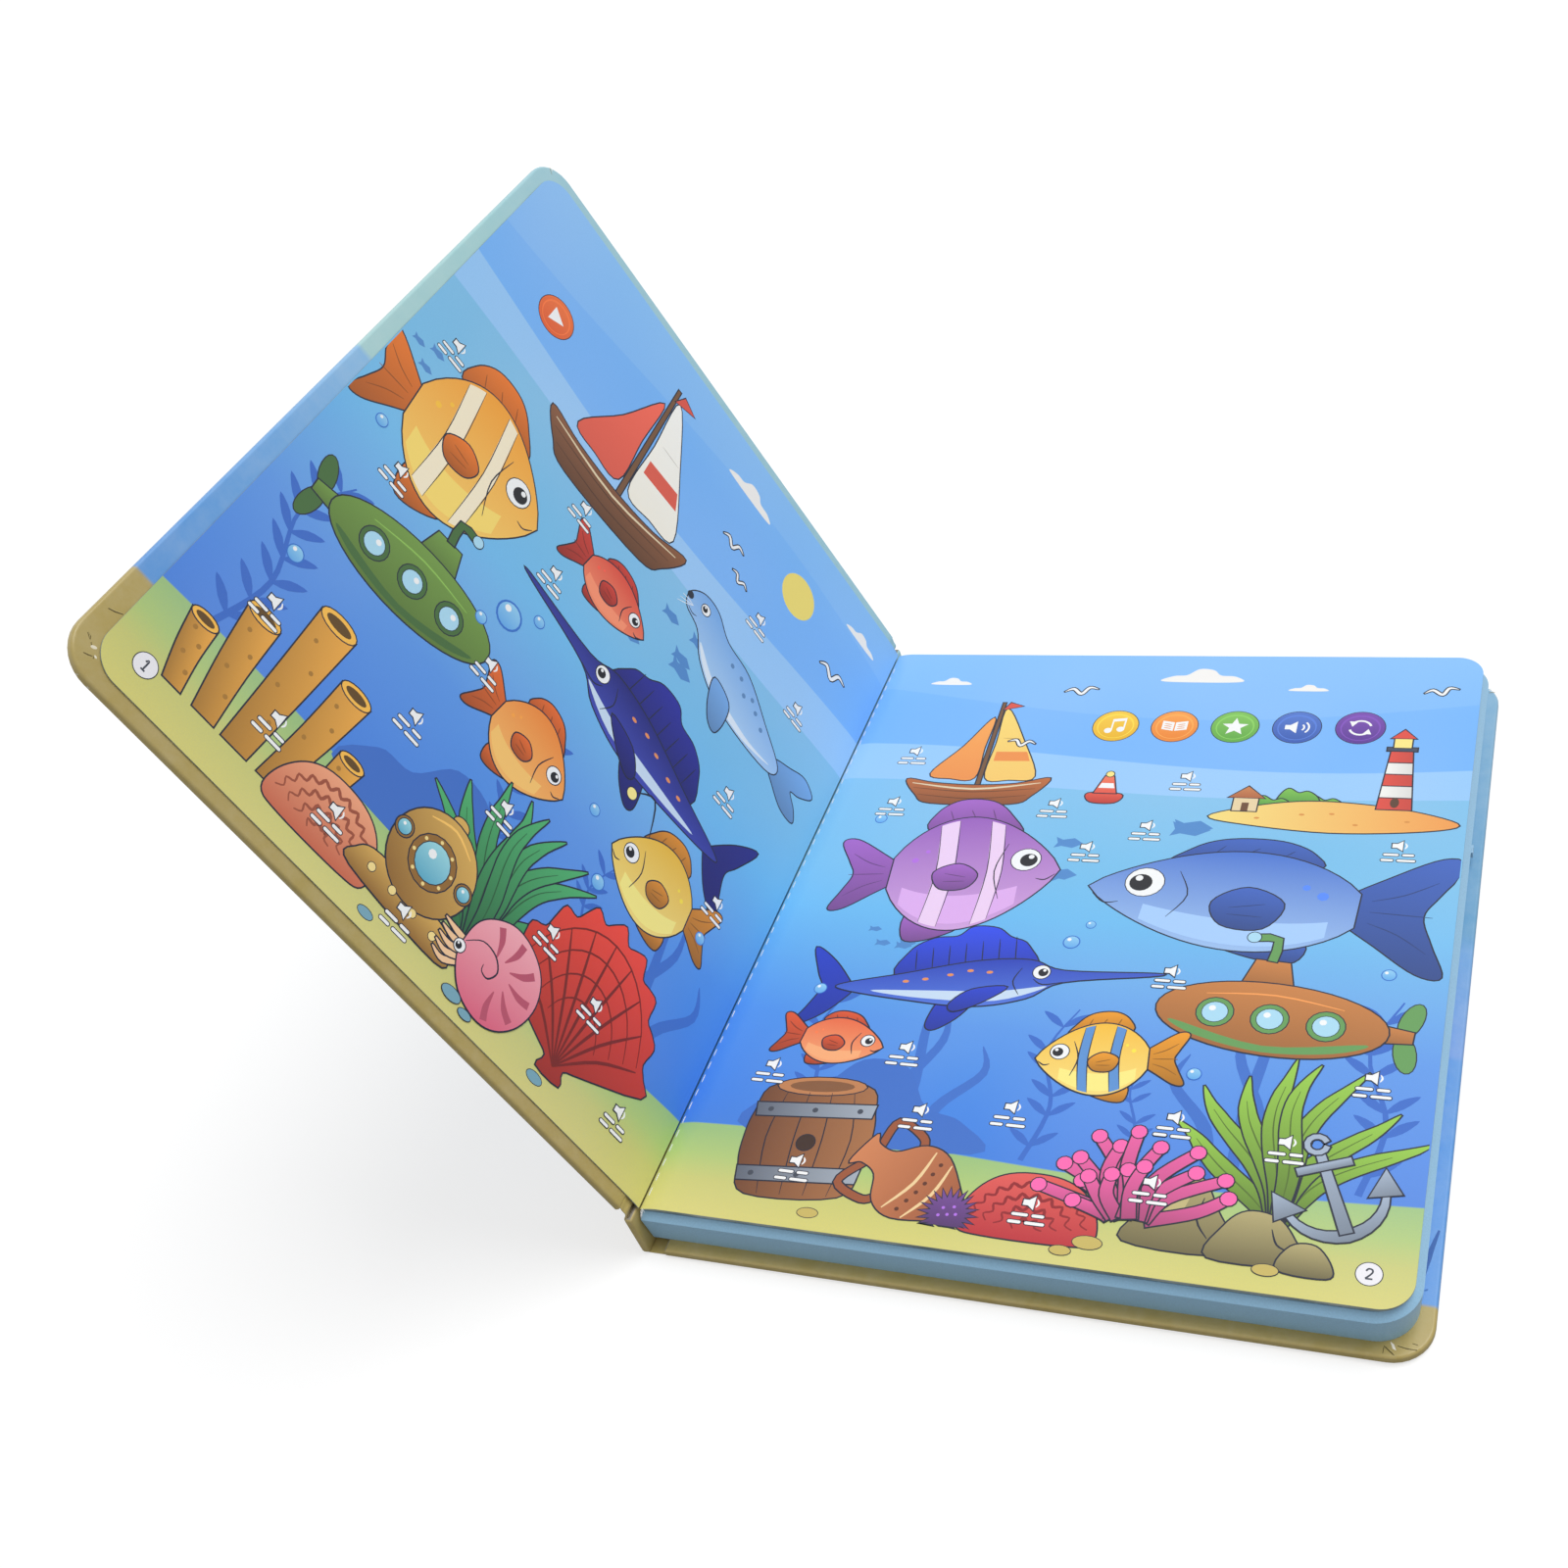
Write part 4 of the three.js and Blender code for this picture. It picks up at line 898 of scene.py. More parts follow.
def seal(pen, back, belly):
    """A resting seal that swims towards +X, one unit long."""
    dark = shade(back, 0.8)
    pen.blob([(-0.4, 0.03), (-0.5, 0.1), (-0.6, 0.16), (-0.7, 0.13), (-0.64, 0.05), (-0.58, 0.01), (-0.66, -0.04),
              (-0.7, -0.1), (-0.6, -0.12), (-0.48, -0.08), (-0.4, -0.04)], dark, back)
    pen.blob([(0.52, 0.1), (0.5, 0.16), (0.44, 0.21), (0.34, 0.22), (0.2, 0.17), (0.0, 0.18), (-0.24, 0.1),
              (-0.44, 0.02), (-0.42, -0.06), (-0.2, -0.12), (0.05, -0.14), (0.24, -0.08), (0.36, 0.02), (0.48, 0.04)],
             belly, back)
    pen.blob([(0.3, -0.01), (0.1, -0.08), (-0.2, -0.08), (-0.4, -0.03), (-0.2, -0.11), (0.05, -0.13), (0.22, -0.08)],
             (226, 240, 252), line=0)
    pen.blob([(0.12, -0.05), (0.08, -0.16), (0.0, -0.25), (-0.07, -0.26), (-0.07, -0.16), (-0.02, -0.06)], dark, back)
    pen.dots(((-0.16, 0.08), (-0.1, 0.11), (-0.05, 0.07), (0.02, 0.12), (-0.24, 0.05), (0.1, 0.11)), 0.014, dark)
    pen.eye(0.4, 0.145, 0.03)
    pen.dot(0.51, 0.105, 0.022, (40, 46, 60))
    for k in (-1, 0, 1):
        pen.mark([(0.46, 0.08), (0.5, 0.055 + 0.02 * k), (0.54, 0.03 + 0.03 * k)], 0.22, WHITE)
    pen.mark([(0.48, 0.05), (0.44, 0.045), (0.41, 0.06)], 0.35)


def submarine(pen, hull, trim):
    dark = shade(hull, 0.78)
    for side in (-1, 1):
        pen.dot(-0.58, side * 0.09, 0.045, trim, line=0.3, ry=0.1, turn=side * 14)
    pen.fill([(-0.6, -0.03), (-0.44, -0.05), (-0.44, 0.05), (-0.6, 0.03)], dark, hull)
    pen.fill([(-0.07, 0.16), (0.17, 0.16), (0.13, 0.33), (-0.02, 0.33)], dark, hull)
    pen.stroke([(0.06, 0.33), (0.06, 0.46), (0.15, 0.46)], [0.04, 0.04], trim, steps=2)
    pen.dot(0.17, 0.46, 0.03, (176, 224, 246), line=0.25)
    pen.fill(oval(0, 0, 0.5, 0.2, steps=40), dark, hull)
    pen.blob([(-0.42, -0.07), (0.0, -0.15), (0.42, -0.07), (0.3, -0.14), (0.0, -0.185), (-0.3, -0.14)], trim, line=0)
    pen.mark([(-0.3, 0.1), (0.0, 0.135), (0.3, 0.1)], 0.5, shade(hull, 1.25))
    for x in (-0.24, 0.0, 0.24):
        pen.dot(x, 0.0, 0.08, trim, line=0.3)
        pen.dot(x, 0.0, 0.056, (176, 224, 246), line=0.2)
        pen.dot(x + 0.015, 0.02, 0.016, WHITE, steps=8)


def sail_boat(pen, hull, sail, stripe):
    dark = shade(hull, 0.7)
    pen.stroke([(0.02, 0.0), (0.02, 0.95)], [0.03, 0.02], (120, 84, 56), steps=2)
    pen.blob([(0.06, 0.12), (0.06, 0.5), (0.06, 0.88), (0.26, 0.52), (0.42, 0.14), (0.24, 0.1)], sail,
             shade(sail, 1.08))
    pen.blob([(-0.02, 0.12), (-0.02, 0.45), (-0.02, 0.78), (-0.18, 0.46), (-0.36, 0.16), (-0.2, 0.11)],
             stripe, shade(stripe, 1.15))
    pen.fill([(0.08, 0.3), (0.35, 0.3), (0.31, 0.4), (0.08, 0.4)], stripe, line=0)
    pen.mark([(0.1, 0.55), (0.24, 0.54)], 0.3, shade(sail, 0.8))
    pen.fill([(0.07, 0.95), (0.17, 0.91), (0.03, 0.87)], (226, 88, 74))
    pen.blob([(-0.52, 0.1), (-0.3, 0.06), (0.0, 0.04), (0.3, 0.06), (0.54, 0.12), (0.44, -0.06), (0.3, -0.15),
              (-0.28, -0.15), (-0.42, -0.06)], dark, hull)
    for y, w in ((0.01, 0.45), (-0.06, 0.4)):
        pen.mark([(-w, y), (0.0, y - 0.04), (w, y)], 0.4, shade(hull, 0.55))
    pen.mark([(-0.47, 0.06), (0.0, 0.0), (0.48, 0.07)], 0.8, (232, 214, 178))


def islet(pen):
    """A sandy islet with a lighthouse, a hut and bushes, one unit wide."""
    for x, tall in ((0.04, 0.1), (0.15, 0.14), (0.25, 0.09)):
        pen.blob([(x - 0.08, 0.05), (x - 0.085, tall * 0.9), (x - 0.04, tall + 0.03), (x, tall + 0.02),
                  (x + 0.045, tall + 0.045), (x + 0.08, tall * 0.9), (x + 0.085, 0.05)], (54, 128, 62), (128, 196, 84))
    pen.blob([(-0.5, 0.0), (-0.36, 0.06), (-0.14, 0.1), (0.1, 0.11), (0.32, 0.07), (0.5, 0.0), (0.34, -0.04),
              (0.0, -0.07), (-0.34, -0.045)], (250, 226, 134), (243, 160, 84), 0)
    pen.dots(((-0.3, 0.01), (-0.1, -0.02), (0.12, 0.03), (0.3, 0.0), (0.0, 0.04)), 0.012, (222, 150, 76), 0.006)
    for i in range(5):
        low, high = 0.08 + 0.072 * i, 0.08 + 0.072 * (i + 1)
        a, b = 0.068 - 0.005 * i, 0.063 - 0.005 * i
        colour = (226, 82, 70) if i % 2 == 0 else (248, 248, 244)
        pen.fill([(-0.24 - a, low), (-0.24 + a, low), (-0.24 + b, high), (-0.24 - b, high)], colour,
                 shade(colour, 0.9), 0)
    pen.box(-0.3, 0.44, -0.18, 0.46, (64, 74, 96))
    pen.box(-0.275, 0.46, -0.205, 0.52, (255, 236, 140))
    pen.fill([(-0.29, 0.52), (-0.19, 0.52), (-0.24, 0.575)], (226, 82, 70))
    pen.dot(-0.24, 0.12, 0.018, (90, 60, 44), ry=0.03)
    pen.box(0.31, 0.04, 0.41, 0.12, (236, 214, 170))
    pen.fill([(0.285, 0.12), (0.435, 0.12), (0.36, 0.19)], (178, 104, 66), (206, 134, 84))
    pen.box(0.345, 0.04, 0.375, 0.09, (110, 74, 50), line=0)


def barrel(pen):
    wood, dark = (172, 116, 74), (112, 70, 46)
    pen.blob([(-0.3, -0.42), (0.3, -0.42), (0.4, -0.2), (0.42, 0.0), (0.4, 0.2), (0.3, 0.42), (-0.3, 0.42),
              (-0.4, 0.2), (-0.42, 0.0), (-0.4, -0.2)], dark, wood, 0)
    pen.dot(0.0, 0.41, 0.3, shade(wood, 1.15), line=0.35, ry=0.07)
    pen.dot(0.0, 0.41, 0.22, shade(wood, 0.8), line=0.0, ry=0.045)
    for x in (-0.22, -0.07, 0.08, 0.23):
        pen.mark([(x, -0.42), (x * 1.25, 0.0), (x, 0.36)], 0.35)
    for y in (-0.27, 0.22):
        pen.fill([(-0.385, y - 0.05), (0.385, y - 0.05), (0.4, y + 0.05), (-0.4, y + 0.05)], (96, 104, 118),
                 (168, 178, 190), 0)
        pen.dots(((-0.3, y), (0.0, y), (0.3, y)), 0.02, (70, 76, 88))
    pen.dot(0.0, -0.03, 0.06, (60, 40, 30), line=0.25)


def amphora(pen):
    clay, dark = (214, 136, 90), (158, 88, 56)
    for side in (-1, 1):
        pen.stroke([(0.1 * side, 0.42), (0.34 * side, 0.46), (0.34 * side, 0.2), (0.24 * side, 0.12)],
                   [0.06, 0.06], dark)
    pen.blob([(-0.08, -0.5), (0.08, -0.5), (0.12, -0.42), (0.32, -0.1), (0.3, 0.12), (0.12, 0.28), (0.1, 0.44),
              (0.15, 0.52), (-0.15, 0.52), (-0.1, 0.44), (-0.12, 0.28), (-0.3, 0.12), (-0.32, -0.1),
              (-0.12, -0.42)], dark, clay)
    for y, w in ((0.02, 0.3), (-0.16, 0.28)):
        pen.mark([(-w, y), (0, y - 0.05), (w, y)], 0.9, (246, 214, 160))
    for i in range(6):
        pen.dot(-0.24 + 0.095 * i, -0.085 - 0.02 * (1 - abs(i - 2.5) / 2.5), 0.018, (96, 52, 36), steps=8)


def anchor(pen, metal):
    light = shade(metal, 1.35)
    pen.fill(ribbon(around(0.4, (math.radians(198 + 12 * i) for i in range(13)), y=-0.04), [0.05, 0.11, 0.05]),
             metal, light)
    for side in (-1, 1):
        pen.fill([(side * 0.25, -0.14), (side * 0.5, -0.18), (side * 0.45, 0.08)], metal, light)
    pen.stroke([(0.0, -0.42), (0.0, 0.36)], [0.1, 0.07], metal, light, steps=2)
    pen.stroke([(-0.22, 0.22), (0.22, 0.22)], [0.07, 0.07], metal, light, steps=2)
    pen.fill(ribbon(around(0.08, (math.radians(30 * i + 4) for i in range(12)), y=0.44), [0.045, 0.045]), light)


def diving_helmet(pen):
    brass, dark = (222, 178, 94), (150, 108, 52)
    pen.blob([(-0.42, -0.42), (0.42, -0.42), (0.46, -0.3), (0.3, -0.2), (-0.3, -0.2), (-0.46, -0.3)], dark, brass)
    pen.dot(0.0, 0.43, 0.07, brass, line=0.35, ry=0.05)
    pen.fill(oval(0, 0.06, 0.36, 0.36, steps=36), dark, brass, 60)
    pen.mark([(-0.2, 0.3), (0.0, 0.37), (0.2, 0.3)], 0.7, shade(brass, 1.15))
    for x, y, r in ((0.0, 0.06, 0.19), (0.3, 0.08, 0.07), (-0.3, 0.08, 0.07)):
        pen.dot(x, y, r, dark, line=0.35)
        pen.dot(x, y, r * 0.74, (96, 176, 204), line=0.25, high=(160, 222, 232))
        pen.dot(x - r * 0.2, y + r * 0.25, r * 0.18, WHITE, steps=8)
    for x, y in around(0.165, (math.pi * i / 4 + 0.2 for i in range(8)), y=0.06):
        pen.dot(x, y, 0.014, (250, 226, 150), steps=8)
    for x in (-0.3, -0.1, 0.1, 0.3):
        pen.dot(x, -0.31, 0.03, (250, 226, 150), line=0.2, steps=10)


def nautilus(pen, low, high):
    for k in range(5):
        pen.stroke([(0.3, -0.08 + 0.03 * k), (0.5, -0.2 + 0.07 * k), (0.64, -0.16 + 0.07 * k)], [0.06, 0.05, 0.01],
                   (250, 206, 160))
    pen.blob([(0.4, 0.1), (0.34, 0.28), (0.2, 0.4), (0.0, 0.46), (-0.22, 0.4), (-0.4, 0.24), (-0.46, 0.0),
              (-0.38, -0.24), (-0.2, -0.4), (0.02, -0.43), (0.26, -0.32), (0.4, -0.1)], low, high)
    for a in range(6):
        t = math.radians(62 + 38 * a)
        pen.stroke([(0.14 * math.cos(t), 0.14 * math.sin(t)), (0.28 * math.cos(t + 0.2), 0.28 * math.sin(t + 0.2)),
                    (0.4 * math.cos(t + 0.16), 0.4 * math.sin(t + 0.16))], [0.01, 0.06, 0.07], shade(low, 0.84), line=0)
    pen.mark([(0.39, 0.06), (0.24, 0.16), (0.08, 0.13), (0.0, 0.02), (0.06, -0.08), (0.14, -0.06), (0.15, 0.0)], 0.5)
    pen.eye(0.42, -0.01, 0.055)


def sea_fan(pen, colour, seed):
    """A lattice fan on a short stem, about one unit high."""
    rim = []
    for i in range(25):
        a = math.radians(172 - 164 * i / 24)
        r = 0.78 + 0.045 * math.sin(i * 2.1 + seed)
        rim.append((r * 0.72 * math.cos(a), 0.2 + r * math.sin(a)))
    pen.blob(rim + [(0.2, 0.14), (0.07, 0.08), (0.09, 0.0), (-0.09, 0.0), (-0.07, 0.08), (-0.2, 0.14)],
             shade(colour, 0.72), shade(colour, 1.1), steps=3)
    vein = shade(colour, 0.55)
    for i in range(9):
        a = math.radians(163 - 18.2 * i)
        pen.mark([(0.0, 0.06), (0.24 * math.cos(a), 0.18 + 0.3 * math.sin(a)),
                  (0.5 * math.cos(a), 0.2 + 0.68 * math.sin(a))], 0.9, vein)
    for r in (0.28, 0.42, 0.56, 0.69):
        pen.mark([(r * 0.72 * math.cos(a), 0.19 + r * math.sin(a)) for a in
                  (math.radians(160 - 17.5 * i) for i in range(9))], 0.5, vein, steps=2)


def tube_sponges(pen, colour):
    dark = shade(colour, 0.7)
    for x, height, width, lean in ((-0.2, 0.64, 0.2, -0.08), (0.22, 0.72, 0.2, 0.09), (0.0, 0.94, 0.24, 0.02),
                                   (-0.4, 0.38, 0.16, -0.08), (0.42, 0.42, 0.16, 0.08)):
        top = x + lean
        pen.fill(curve([(x + width * 0.34, 0.0), (x + lean * 0.6 + width * 0.42, height * 0.5),
                        (top + width * 0.5, height)],
                       False) + curve([(top - width * 0.5, height), (x + lean * 0.6 - width * 0.42, height * 0.5),
                                       (x - width * 0.34, 0.0)], False), dark, colour, 20)
        pen.dot(top, height, width * 0.5, shade(colour, 1.1), line=0.35, ry=width * 0.22)
        pen.dot(top, height, width * 0.36, shade(colour, 0.4), ry=width * 0.13)
        for k in (0.25, 0.45, 0.65, 0.82):
            pen.dot(x + lean * k + width * (0.2 if k in (0.25, 0.65) else -0.16), height * k, 0.014, dark, steps=8)


def kelp(pen, colour, blades=6, seed=1):
    """Broad ribbons of weed that rise from the origin."""
    chance = random.Random(seed)
    order = sorted(range(blades), key=lambda i: -abs(i - (blades - 1) / 2))
    for i in order:
        t = (i - (blades - 1) / 2) / ((blades - 1) / 2)
        tall = (1 - 0.38 * t * t) * chance.uniform(0.88, 1.0)
        phase = chance.uniform(0.0, 3.0)
        path = [(0.16 * t * k + 0.42 * t * k * k + 0.07 * k * math.sin(phase + 6.0 * k), tall * k) for k in
                (j / 8 for j in range(9))]
        shape = curve(path, False, 3)
        pen.fill(ribbon(shape, [0.03, 0.075, 0.1, 0.095, 0.07, 0.003]), shade(colour, 0.5), shade(colour, 1.12))
        pen.mark(shape[2:-3:3], 0.4, shade(colour, 0.6))


def weed_shadow(pen, leaves, colour=(62, 112, 204)):
    """A faint far-off weed: one stem and paired leaves, without an outline."""
    stem = curve([(0, 0), (0.07, 0.35), (-0.03, 0.7), (0.08, 1.0)], False, 6)
    pen.fill(ribbon(stem, [0.03, 0.02, 0.008]), colour, line=0)
    for i in range(1, leaves + 1):
        x, y = stem[int(i * (len(stem) - 1) / (leaves + 1))]
        for side in (-1, 1):
            pen.blob([(x, y), (x + side * 0.07, y + 0.03), (x + side * 0.13, y + 0.1), (x + side * 0.05, y + 0.07)],
                     colour, line=0, steps=3)


def far_blades(pen, colour=(66, 117, 206)):
    for x, tall, lean in ((-0.1, 0.9, 0.16), (0.0, 1.0, -0.05), (0.1, 0.66, 0.22)):
        pen.fill(ribbon(curve([(x, 0), (x + lean * 0.2, tall * 0.4), (x + lean, tall * 0.75), (x + lean * 0.8, tall)],
                              False, 5), [0.05, 0.06, 0.045, 0.005]), colour, line=0)


def far_rock(pen, colour=(66, 116, 204)):
    pen.blob([(-0.5, 0.0), (-0.42, 0.22), (-0.24, 0.26), (-0.08, 0.44), (0.14, 0.42), (0.28, 0.22), (0.46, 0.16),
              (0.55, 0.0)], colour, line=0)


def far_shoal(pen, seed, count=5, colour=(84, 142, 206)):
    chance = random.Random(seed)
    for _ in range(count):
        x, y, s = chance.uniform(-0.5, 0.5), chance.uniform(-0.3, 0.3), chance.uniform(0.07, 0.13)
        pen.fill([(x + s, y), (x + s * 0.3, y + s * 0.5), (x - s * 0.5, y + s * 0.3), (x - s, y + s * 0.55),
                  (x - s * 0.8, y), (x - s, y - s * 0.5), (x - s * 0.5, y - s * 0.3), (x + s * 0.3, y - s * 0.45)],
                 colour, line=0)


def urchin(pen, colour):
    spikes = []
    for i in range(44):
        r = 0.5 if i % 2 == 0 else 0.3
        a = 2 * math.pi * i / 44
        spikes.append((r * math.cos(a), max(-0.24, r * math.sin(a))))
    pen.fill(spikes, shade(colour, 0.7), colour)
    pen.dots(((-0.1, 0.1), (0.08, 0.14), (0.0, -0.02), (0.14, 0.0), (-0.15, -0.05)), 0.03, shade(colour, 1.5))


def rocks(pen, low=(112, 104, 70), high=(184, 172, 120)):
    pen.blob([(-0.55, 0.0), (-0.46, 0.24), (-0.3, 0.5), (-0.16, 0.5), (-0.04, 0.3), (0.08, 0.0)], low, high)
    pen.blob([(-0.4, 0.2), (-0.3, 0.42), (-0.2, 0.42), (-0.26, 0.2)], shade(high, 1.08), line=0)
    pen.mark([(-0.12, 0.36), (-0.14, 0.2), (-0.06, 0.08)], 0.5)
    pen.blob([(-0.04, -0.04), (0.02, 0.18), (0.14, 0.3), (0.32, 0.28), (0.44, 0.14), (0.5, -0.02)], low, high)
    pen.mark([(0.3, 0.2), (0.34, 0.1), (0.42, 0.06)], 0.5)
    pen.blob([(0.36, -0.06), (0.42, 0.1), (0.56, 0.12), (0.66, 0.0), (0.64, -0.08)], low, high)


def brain_coral(pen, low, high):
    pen.blob([(-0.5, 0.0), (-0.49, 0.2), (-0.36, 0.4), (-0.16, 0.5), (0.14, 0.5), (0.36, 0.4), (0.49, 0.2), (0.5, 0.0),
              (0.3, -0.05), (-0.3, -0.05)], low, high)
    for k, r in enumerate((0.1, 0.2, 0.3, 0.4)):
        path = []
        for i in range(8 + 5 * k):
            a = math.pi * (0.06 + 0.88 * i / (7 + 5 * k))
            wave = r + 0.022 * (-1) ** i
            path.append((1.08 * wave * math.cos(a), wave * math.sin(a) + 0.02))
        pen.mark(path, 0.9, shade(low, 0.78), steps=3)


def finger_coral(pen, colour, seed, count=11):
    chance = random.Random(seed)
    order = sorted(range(count), key=lambda i: -abs(i - (count - 1) / 2))
    for row, reach_by in ((0, 1.0), (1, 0.62)):
        for i in order[::1 if row == 0 else 2]:
            a = math.radians(164 - 148 * i / (count - 1) + chance.uniform(-5, 5))
            reach = chance.uniform(0.44, 0.56) * reach_by
            bend = chance.uniform(-0.09, 0.09)
            path = [(0.1 * math.cos(a), 0.02), (reach * 0.55 * math.cos(a) + bend, reach * 0.6 * math.sin(a)),
                    (reach * math.cos(a), reach * math.sin(a) + 0.03)]
            pen.stroke(path, [0.075, 0.07, 0.06], shade(colour, 0.78), shade(colour, 1.08))
            pen.dot(*path[-1], 0.042, shade(colour, 1.16), line=0.3, steps=12)


def buoy(pen):
    pen.blob([(-0.3, 0.0), (0.3, 0.0), (0.22, -0.22), (-0.22, -0.22)], (190, 60, 52), (232, 92, 76))
    pen.fill([(-0.2, 0.02), (0.2, 0.02), (0.08, 0.46), (-0.08, 0.46)], (232, 92, 76), (246, 128, 96))
    pen.fill([(-0.15, 0.15), (0.15, 0.15), (0.11, 0.28), (-0.11, 0.28)], WHITE, line=0)
    pen.dot(0, 0.52, 0.07, (255, 236, 140), line=0.3)


def bird(pen):
    pen.stroke([(-0.5, 0.16), (-0.24, 0.26), (0.0, 0.0), (0.24, 0.26), (0.5, 0.16)], [0.01, 0.09, 0.1, 0.09, 0.01],
               WHITE)


def cloud(pen):
    pen.blob([(-0.5, 0.0), (-0.36, 0.1), (-0.2, 0.12), (-0.06, 0.24), (0.12, 0.22), (0.22, 0.12), (0.4, 0.1),
              (0.5, 0.0), (0.0, -0.02)], (250, 248, 244), line=0)


def bubble(pen):
    pen.dot(0, 0, 0.5, (58, 118, 206))
    pen.dot(0, 0, 0.43, (104, 176, 238), high=(150, 210, 246))
    pen.dot(-0.16, 0.18, 0.12, WHITE, steps=10)


def icon_with_dashes(page, x, y, lengths=((4.2, 3.2), (3.4, 5.0))):
    """A speaker icon, and plain dashes where the caption was."""
    pen = Pen(page, x, y, ICON_SIZE)
    pen.fill([(-0.5, -0.2), (-0.16, -0.2), (0.22, -0.5), (0.22, 0.5), (-0.16, 0.2), (-0.5, 0.2)], WHITE, line=0.32)
    pen.mark([(0.36, -0.28), (0.48, 0.0), (0.36, 0.28)], 0.5, WHITE)
    plain = Pen(page, 0.0, 0.0, 1.0)
    for row, parts in enumerate(lengths):
        left = x - (sum(parts) + DASH_GAP * (len(parts) - 1)) / 2
        for part in parts:
            plain.fill(bar(left + part / 2, y - 3.6 - 2.2 * row, part, 0.85), WHITE, line=0.24)
            left += part + DASH_GAP


def disc(page, x, y, radius, low, high, symbol):
    pen = Pen(page, x, y, radius)
    pen.fill(oval(0, 0, 1.0, steps=40), low, high, line=0.25)
    pen.fill(oval(0, 0, 0.82, steps=36), shade(high, 1.08), line=0)
    pen.fill(oval(0, -0.04, 0.76, 0.74, steps=36), low, high, line=0)
    symbol(pen)


def note_symbol(pen):
    pen.dot(-0.28, -0.32, 0.17, WHITE)
    pen.dot(0.26, -0.22, 0.17, WHITE)
    pen.box(-0.18, -0.32, -0.11, 0.4, WHITE, line=0)
    pen.box(0.36, -0.22, 0.43, 0.5, WHITE, line=0)
    pen.fill([(-0.18, 0.26), (0.43, 0.36), (0.43, 0.54), (-0.18, 0.44)], WHITE, line=0)


def book_symbol(pen):
    for side in (-1, 1):
        pen.fill([(0.03 * side, -0.3), (0.55 * side, -0.2), (0.55 * side, 0.36), (0.03 * side, 0.26)][::side], WHITE,
                 line=0)
        for k in range(3):
            pen.mark([(0.12 * side, 0.1 - 0.13 * k), (0.46 * side, 0.17 - 0.13 * k)], 0.35, (236, 140, 50))


def star_symbol(pen):
    pen.fill([((0.58 if i % 2 == 0 else 0.25) * math.sin(math.pi * i / 5),
               (0.58 if i % 2 == 0 else 0.25) * math.cos(math.pi * i / 5)) for i in range(10)], WHITE, line=0)


def waves_symbol(pen):
    pen.fill([(-0.5, -0.14), (-0.28, -0.14), (0.0, -0.38), (0.0, 0.38), (-0.28, 0.14), (-0.5, 0.14)], WHITE, line=0)
    for r in (0.24, 0.44):
        pen.fill(ribbon(around(r, (-0.8 + 0.2 * i for i in range(9)), x=0.06), [0.08, 0.08]), WHITE, line=0)


def arrows_symbol(pen):
    for side in (-1, 1):
        turned = around(0.44, (0.3 + 0.26 * i for i in range(9)))
        pen.fill(ribbon([(side * x, side * y) for x, y in turned], [0.1, 0.1]), WHITE, line=0)
        x, y = side * turned[-1][0], side * turned[-1][1]
        pen.fill([(x - side * 0.16, y + side * 0.1), (x + side * 0.2, y + side * 0.08),
                  (x - side * 0.02, y - side * 0.24)], WHITE, line=0)


def play_symbol(pen):
    pen.fill([(-0.28, -0.44), (0.5, 0.0), (-0.28, 0.44)], WHITE, line=0)


def page_number(page, x, y, strokes):
    pen = Pen(page, x, y, 2.9)
    pen.fill(oval(0, 0, 1.0, steps=36), (244, 243, 248), line=0.22)
    for path in strokes:
        pen.fill(ribbon(curve([(0.82 * a, 0.82 * b) for a, b in path], False, 5), [0.15, 0.15]), (64, 70, 82), line=0)


ONE = [[(-0.22, 0.3), (0.04, 0.55), (0.04, -0.55)], [(-0.2, -0.55), (0.3, -0.55)]]
TWO = [[(-0.3, 0.3), (-0.1, 0.56), (0.24, 0.5), (0.3, 0.2), (0.0, -0.2), (-0.32, -0.52)],
       [(-0.32, -0.53), (0.36, -0.53)]]


def repeat(motif, page, pens, *values):
    """The same motif with one pen for each row of place, size and turn."""
    for row in pens:
        motif(Pen(page, *row), *values)


def pebble(pen, colour):
    pen.dot(0, 0, 1, colour, line=0.2, ry=0.5)


def icons(page, places):
    for x, y in places:
        icon_with_dashes(page, x, y)


